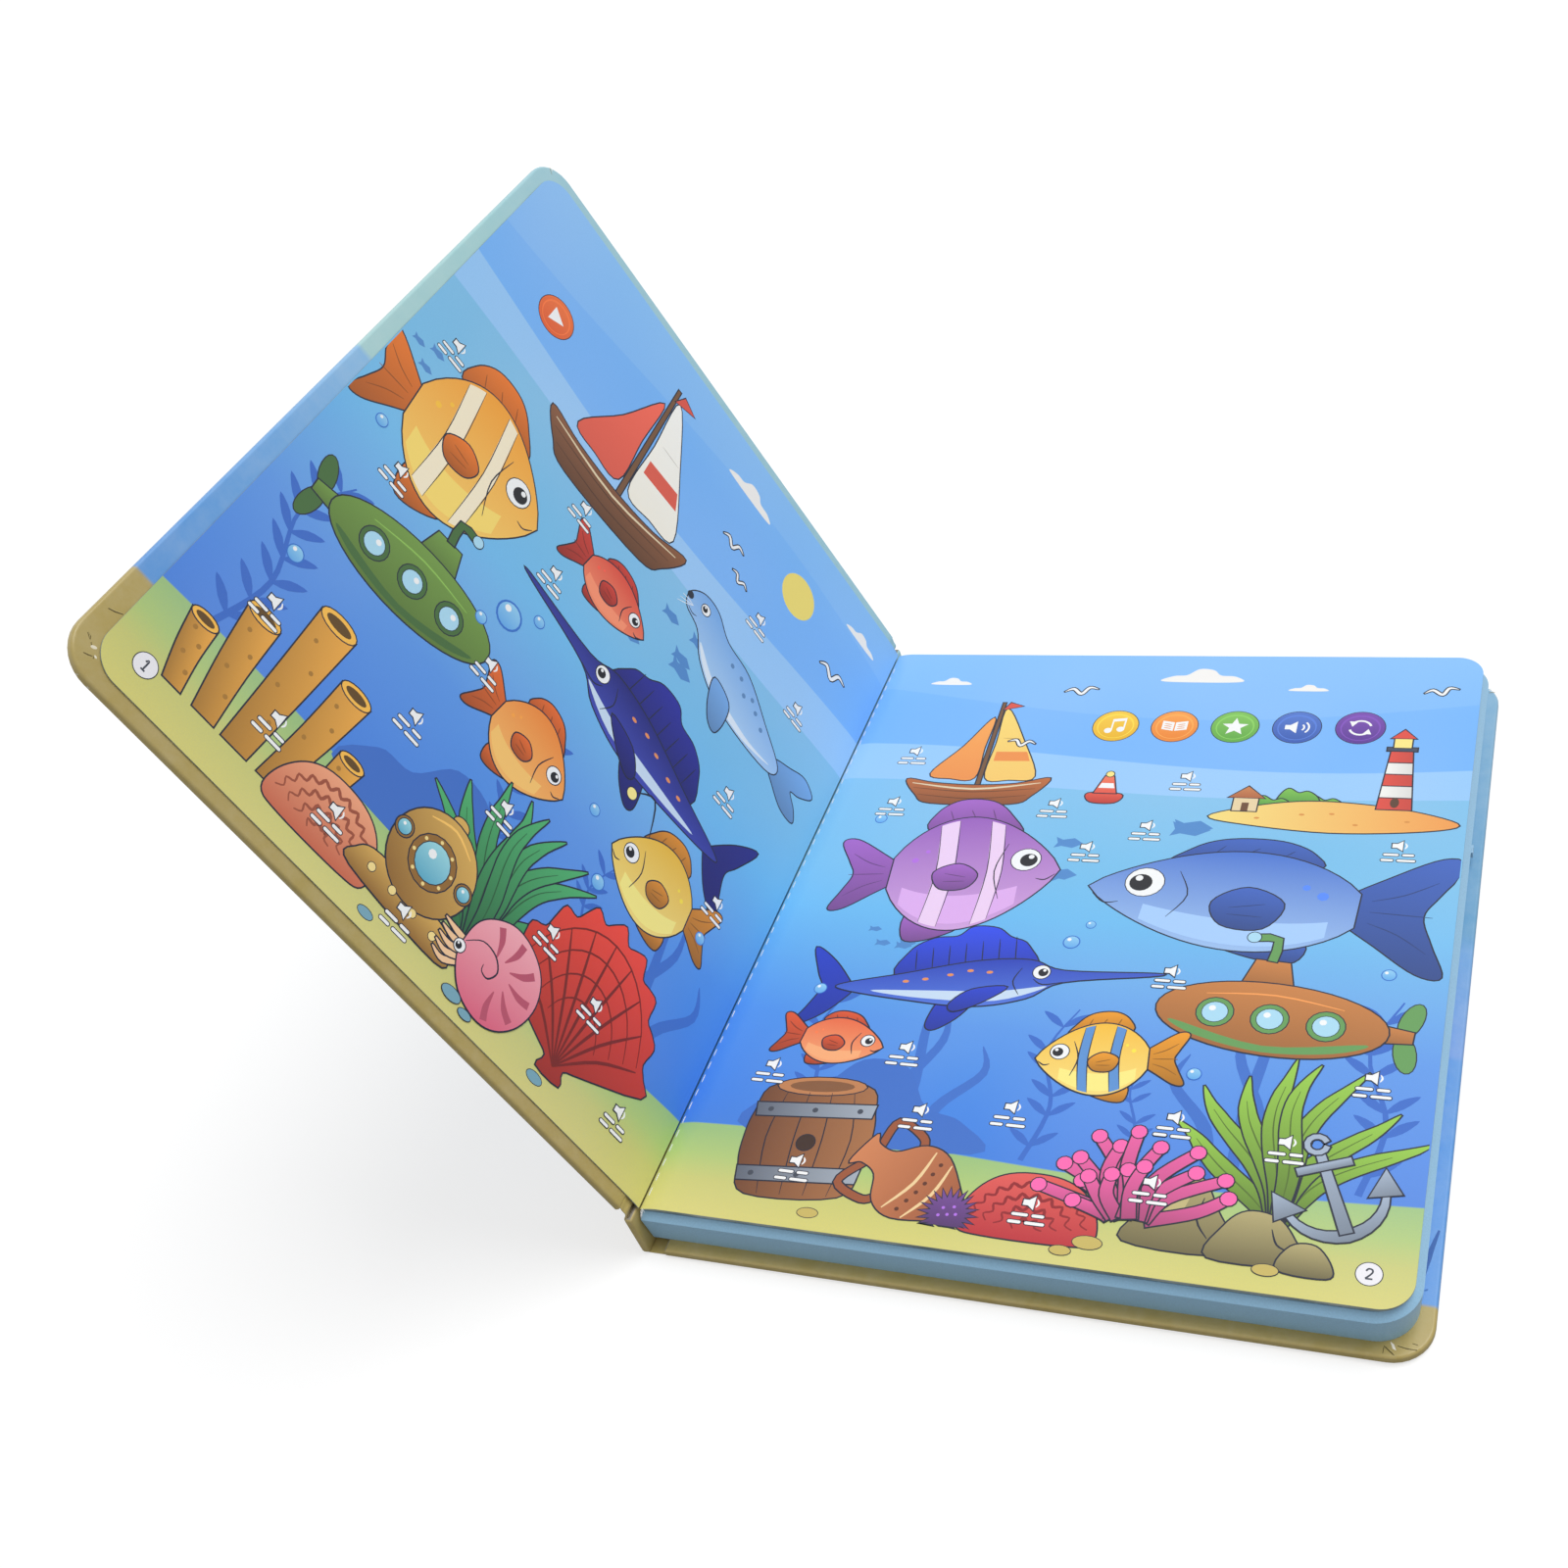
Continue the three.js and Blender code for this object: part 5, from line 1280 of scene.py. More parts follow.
def draw_page_two(page):
    repeat(cloud, page, ((24, 214, 14), (108, 217, 26), (142, 213, 12)))
    repeat(weed_shadow, page, ((30, 28, 52), (96, 28, 50), (120, 28, 36), (178, 29, 60)), 6)
    far_blades(Pen(page, 62, 27, 54))
    far_blades(Pen(page, 148, 28, 58, flip=-1))
    far_rock(Pen(page, 50, 28, 60))
    far_shoal(Pen(page, 96, 140, 50), 4, 6)
    far_shoal(Pen(page, 34, 104, 26), 9, 4)
    discs = [((240, 186, 44), (252, 208, 74), note_symbol), ((242, 138, 50), (252, 164, 80), book_symbol),
             ((98, 172, 70), (132, 198, 94), star_symbol), ((56, 94, 180), (84, 122, 206), waves_symbol),
             ((92, 54, 150), (124, 78, 178), arrows_symbol)]
    for i, (low, high, symbol) in enumerate(discs):
        disc(page, 84.7 + DISC_PITCH * i, 194.5 + 0.35 * i, 7.2, low, high, symbol)
    islet(Pen(page, 156, 155, 70, flip=-1))
    sail_boat(Pen(page, 46, 163, 44, 2), (196, 112, 62), (252, 206, 112), (244, 150, 78))
    buoy(Pen(page, 88, 163, 17))
    repeat(bird, page, ((70, 210, 11, 8), (56, 184, 9, -6), (182, 212, 10, 12)))
    fish(Pen(page, 54, 127, 56, 6), (156, 98, 190), (214, 168, 226), (170, 106, 202), 0.8,
         ((-0.2, -0.1), (0.08, 0.16)), (244, 214, 246))
    fish(Pen(page, 133, 122, 82, -3, -1), (76, 120, 210), (160, 196, 242), (66, 104, 194), 0.42)
    sailfish(Pen(page, 68, 84, 70, 7), (40, 66, 184), (84, 122, 224), (34, 54, 160))
    submarine(Pen(page, 150, 80, 60, -4, -1), (206, 134, 74), (104, 160, 92))
    fish(Pen(page, 108, 62, 32, 6, -1), (250, 196, 66), (253, 226, 130), (244, 162, 46), 0.7,
         ((-0.22, -0.14), (0.04, 0.12)), (96, 150, 214))
    fish(Pen(page, 36, 60, 26, -4), (240, 112, 70), (252, 168, 116), (230, 92, 52), 0.56)
    kelp(Pen(page, 160, 15, 54), (142, 190, 74), 8, 3)
    rocks(Pen(page, 148, 9, 40))
    barrel(Pen(page, 38, 27, 42, 5))
    amphora(Pen(page, 70, 18, 34, 62))
    brain_coral(Pen(page, 102, 7, 34), (190, 52, 60), (232, 98, 92))
    urchin(Pen(page, 82, 10, 15), (124, 80, 158))
    finger_coral(Pen(page, 126, 14, 46), (224, 96, 158), 5, 11)
    anchor(Pen(page, 172, 30, 30, 22), (126, 138, 154))
    repeat(pebble, page, ((118, 7, 3.6), (112, 4, 2.6), (160, 6, 3), (46, 5, 2.8)), (206, 186, 104))
    repeat(bubble, page, ((92, 102, 5), (96, 109, 3), (178, 98, 4), (24, 78, 4), (134, 60, 4), (20, 148, 4)))
    icons(page, ((22, 180), (74, 158), (104, 150), (112, 172), (22, 156), (88, 140), (176, 146), (122, 94), (178, 64),
                 (56, 60), (90, 44), (132, 46), (20, 50), (38, 20), (66, 40), (102, 16), (130, 26), (160, 42)))
    page_number(page, 182.8, 8.6, TWO)


def draw_page_one(page):
    repeat(weed_shadow, page, ((14, 28, 60), (98, 28, 56)), 8)
    weed_shadow(Pen(page, 134, 27, 44), 6)
    far_blades(Pen(page, 164, 27, 56))
    far_rock(Pen(page, 88, 26, 60))
    far_shoal(Pen(page, 112, 144, 40), 6, 5)
    far_shoal(Pen(page, 18, 134, 26), 3, 4)
    Pen(page, 146, 204, 8).fill(oval(0, 0, 1, steps=36), (246, 226, 120), line=0)
    repeat(cloud, page, ((112, 214, 22), (176, 216, 16)))
    disc(page, 28.5, 190.5, 6.6, (232, 98, 48), (242, 118, 62), play_symbol)
    sail_boat(Pen(page, 74, 162, 58, 3), (142, 92, 62), (250, 246, 232), (226, 96, 78))
    repeat(bird, page, ((172, 192, 13, 10), (116, 192, 10, 6), (124, 184, 8, -8)))
    seal(Pen(page, 142, 150, 62, -12, -1), (122, 176, 236), (176, 212, 246))
    sailfish(Pen(page, 122, 106, 76, -8, -1), (30, 36, 122), (66, 78, 184), (28, 32, 106))
    fish(Pen(page, 36, 126, 52, 6), (248, 166, 56), (253, 210, 110), (240, 126, 44), 0.86,
         ((-0.22, -0.12), (0.06, 0.14)), (252, 240, 210))
    fish(Pen(page, 92, 136, 30, -6), (226, 82, 66), (248, 142, 108), (210, 66, 56), 0.52)
    submarine(Pen(page, 44, 82, 56, 5), (118, 158, 74), (70, 110, 60))
    fish(Pen(page, 150, 76, 36, 4, -1), (238, 190, 64), (250, 226, 130), (226, 146, 46), 0.72, lamp=True)
    fish(Pen(page, 96, 74, 32, -8), (244, 142, 62), (252, 190, 108), (236, 112, 50), 0.74)
    kelp(Pen(page, 110, 14, 56), (74, 164, 104), 9, 8)
    tube_sponges(Pen(page, 36, 10, 48), (246, 178, 78))
    brain_coral(Pen(page, 63, 8, 33), (206, 108, 80), (246, 170, 132))
    diving_helmet(Pen(page, 91, 25, 38, -4))
    sea_fan(Pen(page, 149, 8, 50), (226, 70, 56), 2)
    nautilus(Pen(page, 122, 18, 31, 6, -1), (226, 104, 132), (250, 176, 186))
    repeat(pebble, page, ((114, 5, 3.2), (120, 3.4, 2.2), (146, 5, 2.8), (84, 4, 2.4)), (124, 172, 190))
    repeat(bubble, page, ((70, 100, 9), (78, 107, 4), (64, 92, 4), (172, 76, 4), (122, 78, 4), (12, 110, 4),
                          (18, 60, 5), (134, 62, 5)))
    icons(page, ((70, 150), (138, 182), (166, 170), (14, 150), (74, 124), (158, 122), (24, 104), (74, 84), (172, 90),
                 (100, 56), (22, 46), (66, 54), (40, 24), (64, 18), (92, 12), (130, 40), (152, 34), (174, 16)))
    page_number(page, 10.2, 8.6, ONE)


# Settings


class PrintColours(bpy.types.PropertyGroup):
    sky: FloatVectorProperty(name="Sky", description="Blue of the printed sky", subtype="COLOR",
                             default=tint(117, 184, 254))
    pale: FloatVectorProperty(name="Pale Wave", description="Pale band between sky and water", subtype="COLOR",
                              default=tint(154, 206, 254))
    shallow: FloatVectorProperty(name="Shallow Water", description="Light blue under the wave", subtype="COLOR",
                                 default=tint(123, 196, 239))
    middle: FloatVectorProperty(name="Middle Water", description="Blue half way down", subtype="COLOR",
                                default=tint(102, 174, 238))
    deep: FloatVectorProperty(name="Deep Water", description="Blue above the sand", subtype="COLOR",
                              default=tint(66, 130, 226))
    sand_green: FloatVectorProperty(name="Green Sand", description="Green at the sand's edge", subtype="COLOR",
                                    default=tint(160, 199, 128))
    sand_yellow: FloatVectorProperty(name="Yellow Sand", description="Yellow at the tail of the page",
                                     subtype="COLOR", default=tint(220, 214, 123))
    line_width: FloatProperty(name="Line Width", description="Dark line round a printed motif", unit="LENGTH",
                              default=0.42 * MM, min=0.1 * MM, max=1.0 * MM, precision=5)


class CoverColours(bpy.types.PropertyGroup):
    gold: FloatVectorProperty(name="Gold", description="Sand gold of the wrap's tail", subtype="COLOR",
                              default=tint(178, 158, 90))
    blue: FloatVectorProperty(name="Blue", description="Sea blue of the wrap", subtype="COLOR",
                              default=tint(88, 152, 220))
    wear: FloatProperty(name="Wear", description="How far the wrap is rubbed along its edges", subtype="FACTOR",
                        default=0.5, min=0.0, max=1.0)
    edge_round: FloatProperty(name="Edge Rounding", description="Rounding of the cover's edges", unit="LENGTH",
                              default=0.8 * MM, min=0.3 * MM, max=1.1 * MM, precision=5)
    skew: FloatProperty(name="Skew", description="How far the front cover's fore-edge stands out at its tail",
                        unit="LENGTH", default=1.7 * MM, min=0.0, max=3.0 * MM, precision=5)


class PlasticLook(bpy.types.PropertyGroup):
    blue: FloatVectorProperty(name="Case Blue", description="Colour of the sound module", subtype="COLOR",
                              default=tint(152, 197, 228))
    knob: FloatVectorProperty(name="Knob Blue", description="Colour of the power switch's knob", subtype="COLOR",
                              default=tint(168, 206, 232))
    roughness: FloatProperty(name="Roughness", description="Roughness of the moulded case", subtype="FACTOR",
                             default=0.42, min=0.05, max=1.0)


class LeafSizes(bpy.types.PropertyGroup):
    count: IntProperty(name="Leaves", description="Number of sewn leaves", default=4, min=1, max=4)
    stitch: FloatProperty(name="Stitch Length", description="Length of a stitch", unit="LENGTH",
                          default=3.0 * MM, min=1.0 * MM, max=5.0 * MM, precision=5)
    pitch: FloatProperty(name="Stitch Pitch", description="Distance between stitches", unit="LENGTH",
                         default=4.7 * MM, min=2.0 * MM, max=10.0 * MM, precision=5)


class StageLook(bpy.types.PropertyGroup):
    lamp: FloatProperty(name="Lamp", description="Strength of the soft lamp", default=1.75, min=0.0, max=10.0)
    fill: FloatProperty(name="Fill", description="Strength of the light from all round", default=0.5, min=0.0, max=2.0)
    floor: FloatVectorProperty(name="Floor", description="Colour of the floor", subtype="COLOR",
                               default=(0.4, 0.4, 0.4))
    glow: FloatProperty(name="Floor Glow", description="Brightness that only the camera sees on the floor",
                        default=0.66, min=0.0, max=1.0)


class TalkingBookSettings(bpy.types.PropertyGroup):
    print_colours: PointerProperty(type=PrintColours)
    cover_colours: PointerProperty(type=CoverColours)
    plastic: PointerProperty(type=PlasticLook)
    leaves: PointerProperty(type=LeafSizes)
    stage: PointerProperty(type=StageLook)


# Operators


class BookOperator:
    bl_options = {"REGISTER", "UNDO"}

    @property
    def settings(self):
        return bpy.context.scene.talking_book


class TALKINGBOOK_OT_finishes(BookOperator, bpy.types.Operator):
    """Make the materials, and dress every solid of the frame with its own"""
    bl_idname = "talking_book.finishes"
    bl_label = "Finishes"

    def execute(self, context):
        make_materials(self.settings)
        by_slot = {
            "page_print": "page two print", "cover_wrap": "back wrap print", "grey_board": "raw grey board",
            "module_plastic": "blue moulded plastic", "switch_plastic": "smooth blue knob",
            "clear_film": "clear film", "glue_film": "tacky adhesive", "circuit_board": "green circuit board",
            "black_plastic": "black moulded plastic", "steel": "zinc-plated steel",
            "cone_paper": "pressed cone paper", "cell_jacket": "cell jacket", "lead_sleeve": "red sleeve"}
        for part in frame["record"]["subparts"]:
            solid = frame["nodes"][part["node"]]
            finish = bpy.data.materials[by_slot[part["material_slot"]]]
            for place in solid.material_slots:
                place.material = finish
        return {"FINISHED"}


class TALKINGBOOK_OT_leaves(BookOperator, bpy.types.Operator):
    """Make the sewn leaves with page 2 on top, and page 1 inside the front cover"""
    bl_idname = "talking_book.leaves"
    bl_label = "Leaves"

    def execute(self, context):
        count = self.settings.leaves.count
        step = SHEET + (LEAVES_TOP - LEAVES_BOTTOM - count * SHEET) / max(1, count - 1)
        points, faces, kinds, places = [], [], [], []
        for leaf in range(count):
            inset = 0.0 if leaf == 0 else 0.42 + 0.12 * math.sin(2.3 * leaf)
            shift = 0.0 if leaf == 0 else 0.1 * math.cos(4.1 * leaf)

            def top(x, y, leaf=leaf):
                sag = 0.0 if leaf == 0 else 0.02 * (1 + noise.noise(Vector((x * 0.03, y * 0.03, leaf * 7.0))))
                dip = fold_drop(x - GUTTER, GUTTER_DIP) * (1 - leaf * 0.3)
                return LEAVES_TOP - leaf * step - dip - sag

            made = leaf_mesh(GUTTER, GUTTER + PAGE_WIDTH - inset, HALF_PAGE - inset + shift, PAGE_RADIUS, top,
                             SHEET * (1.0 if leaf == 0 else 0.86))
            start = len(points)
            points += made[0]
            faces += [tuple(start + i for i in face) for face in made[1]]
            kinds += made[2]
            places += made[3]
        mesh_piece("sewn_leaves", points, faces, ["page two print", "cut paper edge with painted shade"], "root",
                   ("page_stack",), 40, kinds, places)

        def face(x, y):
            return -fold_drop(x - GUTTER, PAGE_ONE_DIP)

        points, faces, kinds, places = leaf_mesh(GUTTER - 0.3, GUTTER + PAGE_WIDTH, HALF_PAGE, PAGE_RADIUS, face,
                                                 SHEET)
        turned = [cover_matrix @ Vector((x - GUTTER, y, -z)) for x, y, z in points]
        mesh_piece("page_1_paper", turned, [f[::-1] for f in faces], ["page one print", "cut paper edge with painted shade"],
                   "front_cover", ("page_1_sheet",), 40, kinds, places)
        return {"FINISHED"}


class TALKINGBOOK_OT_print(BookOperator, bpy.types.Operator):
    """Print the motifs, the touch discs and the page numbers on both pages"""
    bl_idname = "talking_book.print"
    bl_label = "Print"

    def execute(self, context):
        line = self.settings.print_colours.line_width / MM

        def on_page_two(x, y, rise):
            return Vector((GUTTER + x, y - HALF_PAGE, LEAVES_TOP + rise - fold_drop(x, GUTTER_DIP)))

        def on_page_one(x, y, rise):
            u = PAGE_WIDTH - x
            return cover_matrix @ Vector((u, y - HALF_PAGE, fold_drop(u, PAGE_ONE_DIP) - rise))

        limits = ((EDGE_OF_PRINT, PAGE_WIDTH - EDGE_OF_PRINT), (EDGE_OF_PRINT, PAGE_HEIGHT - EDGE_OF_PRINT))
        page = PagePrint(on_page_two, line, limits)
        draw_page_two(page)
        page.piece("page_2_motifs", "root")
        page = PagePrint(on_page_one, line, limits)
        draw_page_one(page)
        page.piece("page_1_motifs", "front_cover")
        return {"FINISHED"}


class TALKINGBOOK_OT_covers(BookOperator, bpy.types.Operator):
    """Make the wrapped covers, the wrapped spine and the two cloth joints between them"""
    bl_idname = "talking_book.covers"
    bl_label = "Covers"

    def execute(self, context):
        soft, skew = self.settings.cover_colours.edge_round / MM, self.settings.cover_colours.skew / MM

        def front(inset):
            square = sheet_outline(GROOVE + inset, PAGE_WIDTH + MARGIN - inset, HALF_COVER - inset,
                                   max(0.3, COVER_RADIUS - inset))
            return [(u + skew * (u / PAGE_WIDTH) * (0.5 - 0.5 * y / HALF_COVER), y) for u, y in square]

        points, faces, edge = case_mesh(front, 0.0, COVER_BACK - PAGE_ONE_BACK, soft, WRAP, 15.0)
        turned = [cover_matrix @ Vector((x, y, COVER_BACK - z)) for x, y, z in points]
        mesh_piece("front_cover_case", turned, [f[::-1] for f in faces], ["front wrap print"], "front_cover",
                   ("front_cover_wrap",), 50, edge=edge)

        def back(inset):
            return sheet_outline(GUTTER + BACK_GROOVE + inset, COVER_FORE - inset, HALF_COVER - inset,
                                 max(0.3, COVER_RADIUS - inset))

        x0, y0 = door_low.x - DOOR_GAP, door_low.y - DOOR_GAP
        x1, y1, r = door_high.x + DOOR_GAP, door_high.y + DOOR_GAP, DOOR_RADIUS
        window = (arc(x0 + r, y0 + r, r, 180, 270, 5) + arc(x1 - r, y0 + r, r, 270, 360, 5)
                  + arc(x1 - r, y1 - r, r, 0, 90, 5) + arc(x0 + r, y1 - r, r, 90, 180, 5))
        points, faces, edge = case_mesh(back, 0.0, COVER_THICK, soft, WRAP, 15.0, hole=window)
        mesh_piece("back_cover_case", points, faces, ["back wrap print"], "root",
                   ("back_cover_wrap",), 50, edge=edge)

        points, faces, edge = rounded_bar((-SPINE_HALF, -HALF_COVER, 0.0), (SPINE_HALF, HALF_COVER, SPINE_HEIGHT), 0.7)
        turned = [spine_matrix @ Vector(p) for p in points]
        mesh_piece("spine_case", turned, faces, ["spine wrap print"], "spine", ("spine_wrap",), 60,
                   edge=edge)

        def from_spine(x, z):
            p = spine_matrix @ Vector((x, 0, z))
            return (p.x, p.z)

        def from_cover(u, z):
            p = cover_matrix @ Vector((u, 0, z))
            return (p.x, p.z)

        path = curve([from_spine(-0.95, 12.6), from_spine(-1.0, 13.9), from_cover(1.6, 1.5), from_cover(3.3, 1.25),
                      from_cover(4.4, 0.95), from_cover(6.0, 0.75)], False, 4)
        points, faces = ribbon_mesh(path, WRAP, HALF_COVER - 0.5, 90, 0.12)
        cloth = mesh_piece("front_joint_cloth", points, faces, ["joint cloth print with painted light"], angle=60,
                           edge=[0.35] * len(points))
        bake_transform(cloth)

        path = curve([(GUTTER + BACK_GROOVE + 1.5, 0.2), (GUTTER + 2.5, 0.17), (GUTTER - 0.4, 0.17),
                      (GUTTER - 1.9, 0.3), (GUTTER - 2.45, 0.85), (GUTTER - 2.4, 1.9)], False, 4)
        points, faces = ribbon_mesh(path, WRAP, HALF_COVER - 0.5, 60, 0.0)
        cloth = mesh_piece("back_joint_cloth", points, faces, ["joint cloth print with painted light"], angle=60,
                           edge=[0.35] * len(points))
        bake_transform(cloth)
        return {"FINISHED"}


class TALKINGBOOK_OT_thread(BookOperator, bpy.types.Operator):
    """Sew the gutter, and leave a few frayed ends of thread at its tail"""
    bl_idname = "talking_book.thread"
    bl_label = "Thread"

    def execute(self, context):
        stitch, pitch = self.settings.leaves.stitch / MM, self.settings.leaves.pitch / MM
        points, faces = [], []

        def strand(path, radius, sides=6):
            start, count = len(points), len(path)
            for i, p in enumerate(path):
                along = (path[min(count - 1, i + 1)] - path[max(0, i - 1)]).normalized()
                side = along.orthogonal().normalized()
                other = along.cross(side)
                r = radius * (0.35 if i in (0, count - 1) else 1.0)
                for k in range(sides):
                    a = 2 * math.pi * k / sides
                    points.append(p + (side * math.cos(a) + other * math.sin(a)) * r)
            for i in range(count - 1):
                for k in range(sides):
                    a, b = start + i * sides + k, start + i * sides + (k + 1) % sides
                    faces.append((a, b, b + sides, a + sides))
            faces.append(tuple(start + k for k in range(sides))[::-1])
            faces.append(tuple(start + (count - 1) * sides + k for k in range(sides)))

        chance = random.Random(11)
        count = int((PAGE_HEIGHT - 6) / pitch)
        for i in range(count):
            y = -HALF_PAGE + 4 + i * pitch
            x = GUTTER + 0.75 + chance.uniform(-0.06, 0.06)
            z = LEAVES_TOP - fold_drop(x - GUTTER, GUTTER_DIP) + 0.06
            length = stitch * chance.uniform(0.9, 1.05)
            path = []
            for k in range(7):
                t = k / 6
                path.append(Vector((x, y + length * t, z - 0.16 * (2 * t - 1) ** 4)))
            strand(path, 0.13)
        foot = Vector((GUTTER + 0.9, -HALF_PAGE - 0.1, LEAVES_TOP - 0.9))
        for i in range(7):
            heading = math.radians(chance.uniform(258, 335))
            reach = chance.uniform(1.2, 2.8)
            path = [foot + Vector((math.cos(heading) * reach * t * 0.5, math.sin(heading) * reach * t,
                                   0.5 * math.sin(3 * t + i) * t - 0.5 * t * t + 0.1 * i)) for t in
                    (k / 6 for k in range(7))]
            strand(path, 0.07, 5)
        mesh_piece("gutter_thread", points, faces, ["cotton thread"], "root", angle=60)
        return {"FINISHED"}


class TALKINGBOOK_OT_creases(BookOperator, bpy.types.Operator):
    """Mark the mitred folds of the wrap in painted shade and painted highlight, and its rubbed corners"""
    bl_idname = "talking_book.creases"
    bl_label = "Creases"

    def execute(self, context):
        def on_back(x, y, rise):
            return Vector((GUTTER + x, y, COVER_THICK + rise))

        def on_front(u, y, rise):
            return cover_matrix @ Vector((u, y, PAGE_ONE_BACK - rise))

        def crease_shade_and_highlight(page, path, width):
            """A crease in the film, drawn as a dark line of painted shade in its fold, with a pale line of painted
            highlight on its lip beside it.
            """
            page.paint(ribbon(path, [width * 0.8, width * 1.6, width * 0.6]), (98, 84, 40), line=0)
            page.paint(ribbon([(x + 0.16, y + 0.12) for x, y in path], [0.05, 0.14, 0.05]), (206, 190, 126), line=0)

        fore, tail, head = PAGE_WIDTH + MARGIN, -HALF_COVER, HALF_COVER

        page = PagePrint(on_front, 0.0)
        # Creases at the front cover's corners, each drawn as painted shade with a painted highlight; the pale ovals are
        # rubbed spots of the film.
        crease_shade_and_highlight(page, [(fore - 0.7, tail + 16.3), (fore - 2.2, tail + 17.0), (PAGE_WIDTH + 0.2, tail + 17.9)], 0.3)
        crease_shade_and_highlight(page, [(fore - 1.1, tail + 8.6), (fore - 2.0, tail + 8.2), (fore - 2.5, tail + 7.7)], 0.34)
        crease_shade_and_highlight(page, [(fore - 3.0, tail + 7.4), (fore - 3.5, tail + 7.0)], 0.34)
        crease_shade_and_highlight(page, [(fore - 3.3, tail + 4.3), (fore - 4.3, tail + 4.8), (fore - 5.2, tail + 5.2)], 0.26)
        crease_shade_and_highlight(page, [(fore - 5.3, tail + 5.6), (fore - 5.6, tail + 4.9)], 0.3)
        page.paint(oval(fore - 4.1, tail + 7.0, 0.75, 0.4, -30, 14), (240, 232, 206), line=0)
        page.paint(oval(fore - 5.7, tail + 5.6, 0.42, 0.24, 20, 12), (244, 238, 214), line=0)
        crease_shade_and_highlight(page, [(fore - 2.6, head - 3.6), (fore - 4.4, head - 4.8)], 0.22)
        page.paint(oval(fore - 3.6, head - 3.4, 0.4, 0.2, 40, 10), (232, 238, 232), line=0)
        page.piece("front_cover_marks_and_crease_shading", "front_cover")

        page = PagePrint(on_back, 0.0)
        streak = curve([(fore - 3.7, tail + 21.0), (fore - 3.2, tail + 27.0), (fore - 1.4, tail + 35.0)], False)
        page.paint(ribbon(streak, [0.2, 1.5, 0.5]), (60, 104, 172), line=0)
        page.paint(oval(fore - 2.9, tail + 18.6, 0.5, 0.22, 30, 10), (66, 118, 184), line=0)
        page.paint([(fore - 9.4, tail + 4.3), (fore - 8.5, tail + 3.6), (fore - 7.9, tail + 2.2),
                    (fore - 8.7, tail + 2.5)], (246, 238, 222), line=0)
        # Creases at the back cover's corners, each drawn as painted shade with a painted highlight.
        crease_shade_and_highlight(page, [(fore - 7.7, tail + 3.4), (fore - 5.6, tail + 3.1), (fore - 3.5, tail + 3.0)], 0.3)
        crease_shade_and_highlight(page, [(fore - 4.6, tail + 4.5), (fore - 3.4, tail + 4.3)], 0.26)
        crease_shade_and_highlight(page, [(fore - 10.6, tail + 2.9), (fore - 9.2, tail + 1.8), (fore - 8.2, tail + 0.9)], 0.28)
        crease_shade_and_highlight(page, [(fore - 10.6, tail + 2.6), (fore - 10.7, tail + 1.0)], 0.24)
        crease_shade_and_highlight(page, [(fore - 3.0, head - 5.2), (fore - 1.3, head - 5.0)], 0.3)
        page.paint([(fore - 3.2, head - 4.2), (fore - 2.6, head - 2.7), (fore - 2.5, head - 4.2)], (226, 232, 232),
                   line=0)
        page.paint(oval(fore - 2.2, head - 4.6, 0.5, 0.14, 4, 10), (236, 238, 236), line=0)
        page.piece("back_cover_marks_and_crease_shading", "root")
        return {"FINISHED"}


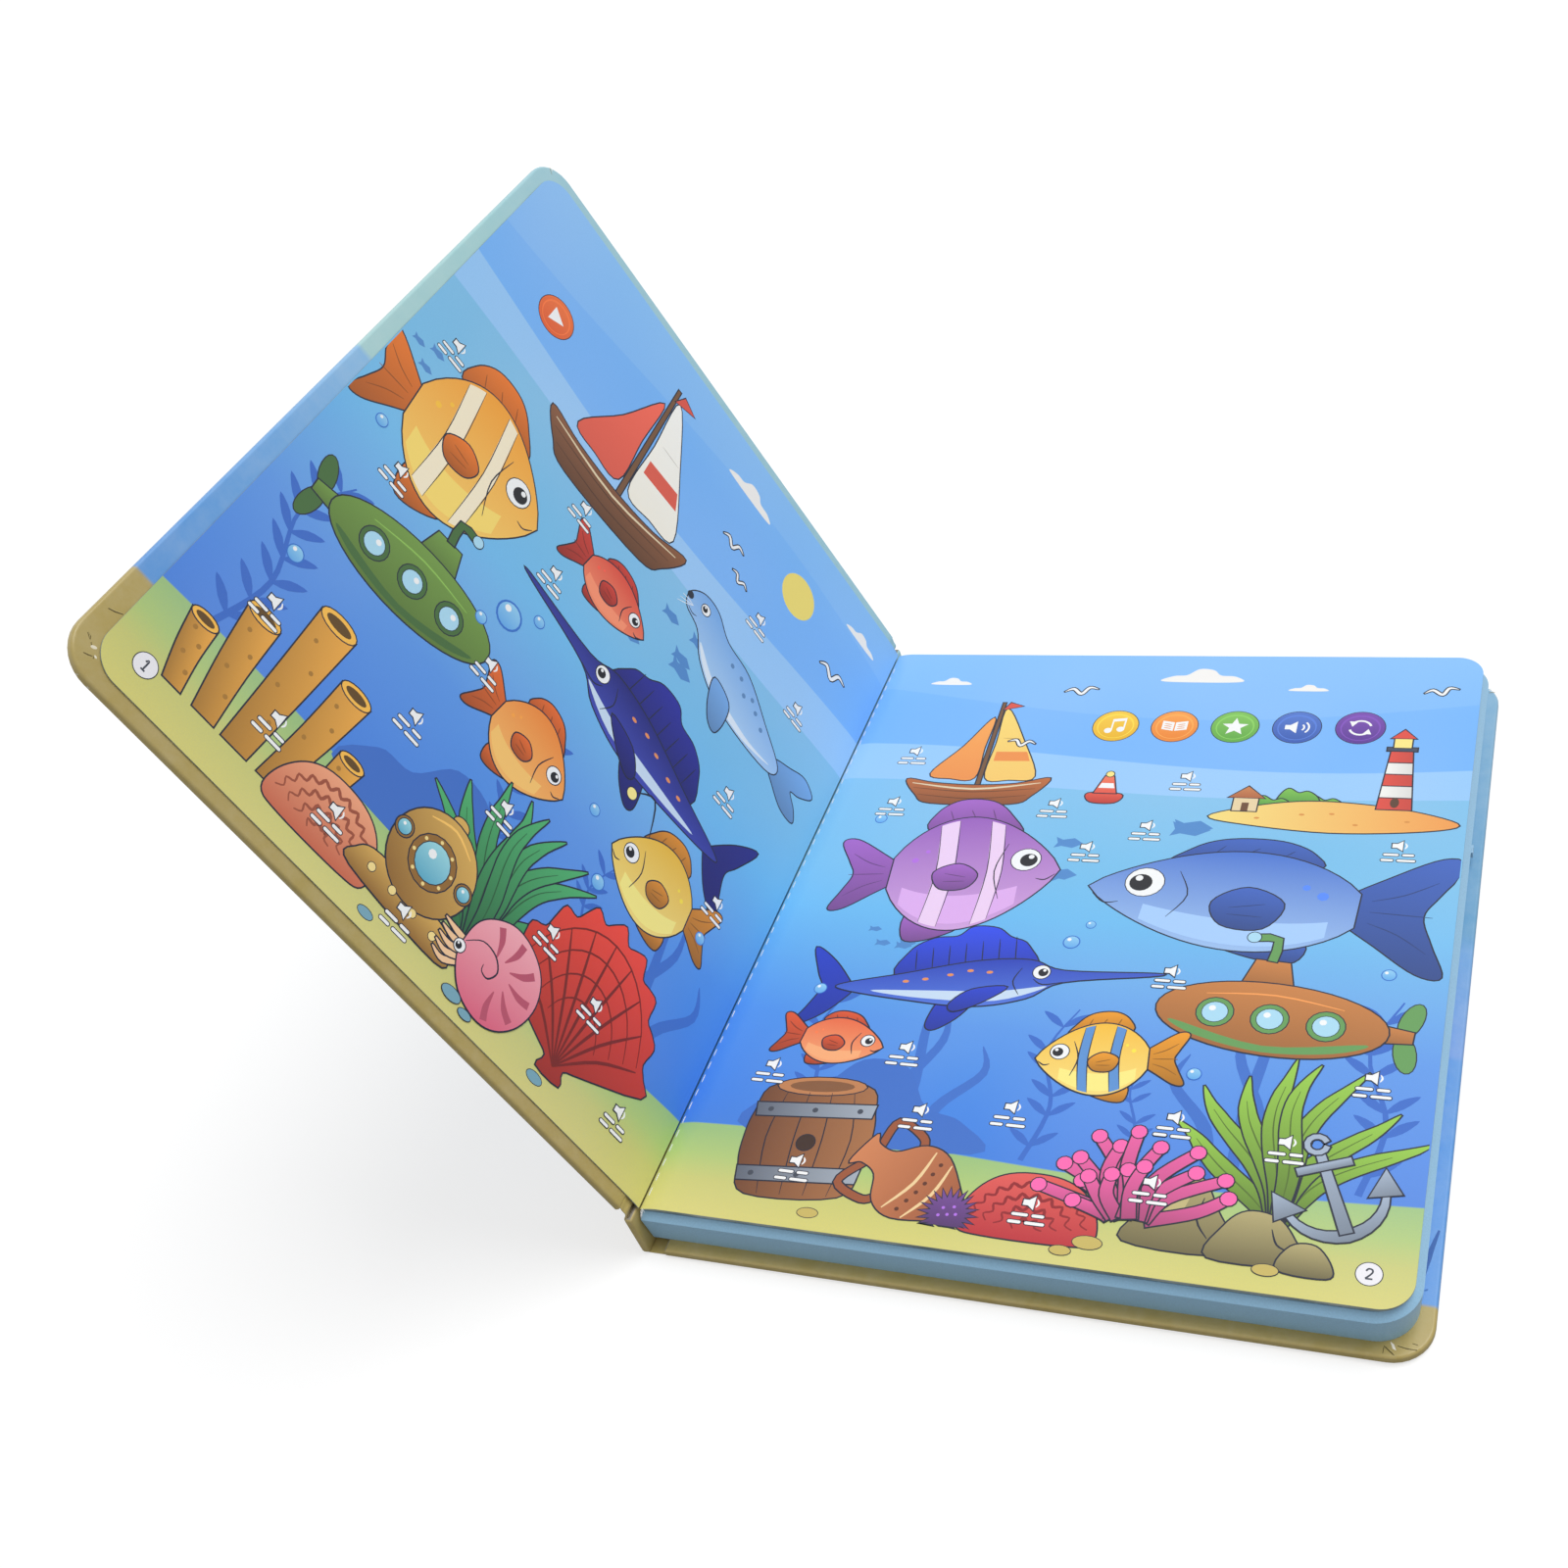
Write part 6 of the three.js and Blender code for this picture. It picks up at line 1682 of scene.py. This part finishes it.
class TALKINGBOOK_OT_stage(BookOperator, bpy.types.Operator):
    """Set the pale floor, the soft lamp, the fill light and the camera"""
    bl_idname = "talking_book.stage"
    bl_label = "Stage"

    def execute(self, context):
        look = self.settings.stage
        tree, shader, where = material("pale studio floor", Roughness=0.9, Specular_IOR_Level=0.1)
        tone = spread(tree, speckle(tree, where, 6.0, 2.0), 0.3, 0.7)
        dusty = tuple(c * 0.995 for c in look.floor)
        feed(tree, shader, Base_Color=mixed(tree, tone, opaque(look.floor), opaque(dusty)))
        path = node(tree, "ShaderNodeLightPath").outputs
        seen = calc(tree, "MULTIPLY", path["Is Camera Ray"], look.glow)
        shader.inputs["Emission Color"].default_value = (1, 1, 1, 1)
        tree.links.new(seen, shader.inputs["Emission Strength"])
        size = 3.0
        mesh = bpy.data.meshes.new("studio_floor")
        mesh.from_pydata([(-size, -size, -0.0003), (size, -size, -0.0003), (size, size, -0.0003),
                          (-size, size, -0.0003)], [], [(0, 1, 2, 3)])
        mesh.materials.append(bpy.data.materials["pale studio floor"])
        floor = bpy.data.objects.new("studio_floor", mesh)
        context.collection.objects.link(floor)

        world = bpy.data.worlds.new("studio_light")
        world.use_nodes = True
        tree = world.node_tree
        path = node(tree, "ShaderNodeLightPath").outputs
        shown = calc(tree, "MAXIMUM", path["Is Camera Ray"],
                     calc(tree, "MAXIMUM", path["Is Glossy Ray"], path["Is Transmission Ray"]))
        strength = spread(tree, shown, 0.0, 1.0, look.fill, 1.0)
        tree.links.new(strength, tree.nodes["Background"].inputs["Strength"])
        tree.nodes["Background"].inputs["Color"].default_value = (1, 1, 1, 1)
        context.scene.world = world

        lamp = bpy.data.lights.new("soft_lamp", "SUN")
        lamp.energy = look.lamp
        lamp.angle = math.radians(38)
        lamp_object = bpy.data.objects.new("soft_lamp", lamp)
        context.collection.objects.link(lamp_object)
        lamp_object.rotation_euler = Vector((0.35, 0.3, 1.0)).to_track_quat("Z", "Y").to_euler()

        lens = bpy.data.cameras.new("photo_view")
        lens.sensor_width, lens.lens = 36.0, 40.964
        lens.shift_x, lens.shift_y = -0.06394, 0.00033
        camera = bpy.data.objects.new("photo_view", lens)
        context.collection.objects.link(camera)
        camera.location = Vector((130.75, -336.07, 373.72)) * MM
        camera.rotation_euler = [math.radians(a) for a in (49.5017, 13.2331, 17.7946)]
        context.scene.camera = camera
        context.scene.view_settings.view_transform = "Standard"
        return {"FINISHED"}


class TALKINGBOOK_PT_panel(bpy.types.Panel):
    """The steps that dress the book, in order"""
    bl_label = "Talking Book"
    bl_idname = "TALKINGBOOK_PT_panel"
    bl_space_type = "VIEW_3D"
    bl_region_type = "UI"
    bl_category = "Talking Book"

    def draw(self, context):
        settings = context.scene.talking_book
        for operator in OPERATORS:
            self.layout.operator(operator.bl_idname)
        for title in ("print_colours", "cover_colours", "plastic", "leaves", "stage"):
            box = self.layout.box()
            box.label(text=title.replace("_", " ").title())
            values = getattr(settings, title)
            for name in values.bl_rna.properties.keys():
                if name not in ("rna_type", "name"):
                    box.prop(values, name)


OPERATORS = (TALKINGBOOK_OT_finishes, TALKINGBOOK_OT_leaves, TALKINGBOOK_OT_print, TALKINGBOOK_OT_covers,
             TALKINGBOOK_OT_thread, TALKINGBOOK_OT_creases, TALKINGBOOK_OT_stage)
CLASSES = (PrintColours, CoverColours, PlasticLook, LeafSizes, StageLook, TalkingBookSettings, *OPERATORS,
           TALKINGBOOK_PT_panel)


def register():
    for made in CLASSES:
        bpy.utils.register_class(made)
    bpy.types.Scene.talking_book = PointerProperty(type=TalkingBookSettings)


def unregister():
    del bpy.types.Scene.talking_book
    for made in reversed(CLASSES):
        bpy.utils.unregister_class(made)


def main():
    register()
    bpy.ops.talking_book.finishes()
    bpy.ops.talking_book.leaves()
    bpy.ops.talking_book.print()
    bpy.ops.talking_book.covers()
    bpy.ops.talking_book.thread()
    bpy.ops.talking_book.creases()
    bpy.ops.talking_book.stage()


if __name__ == "__main__":
    main()
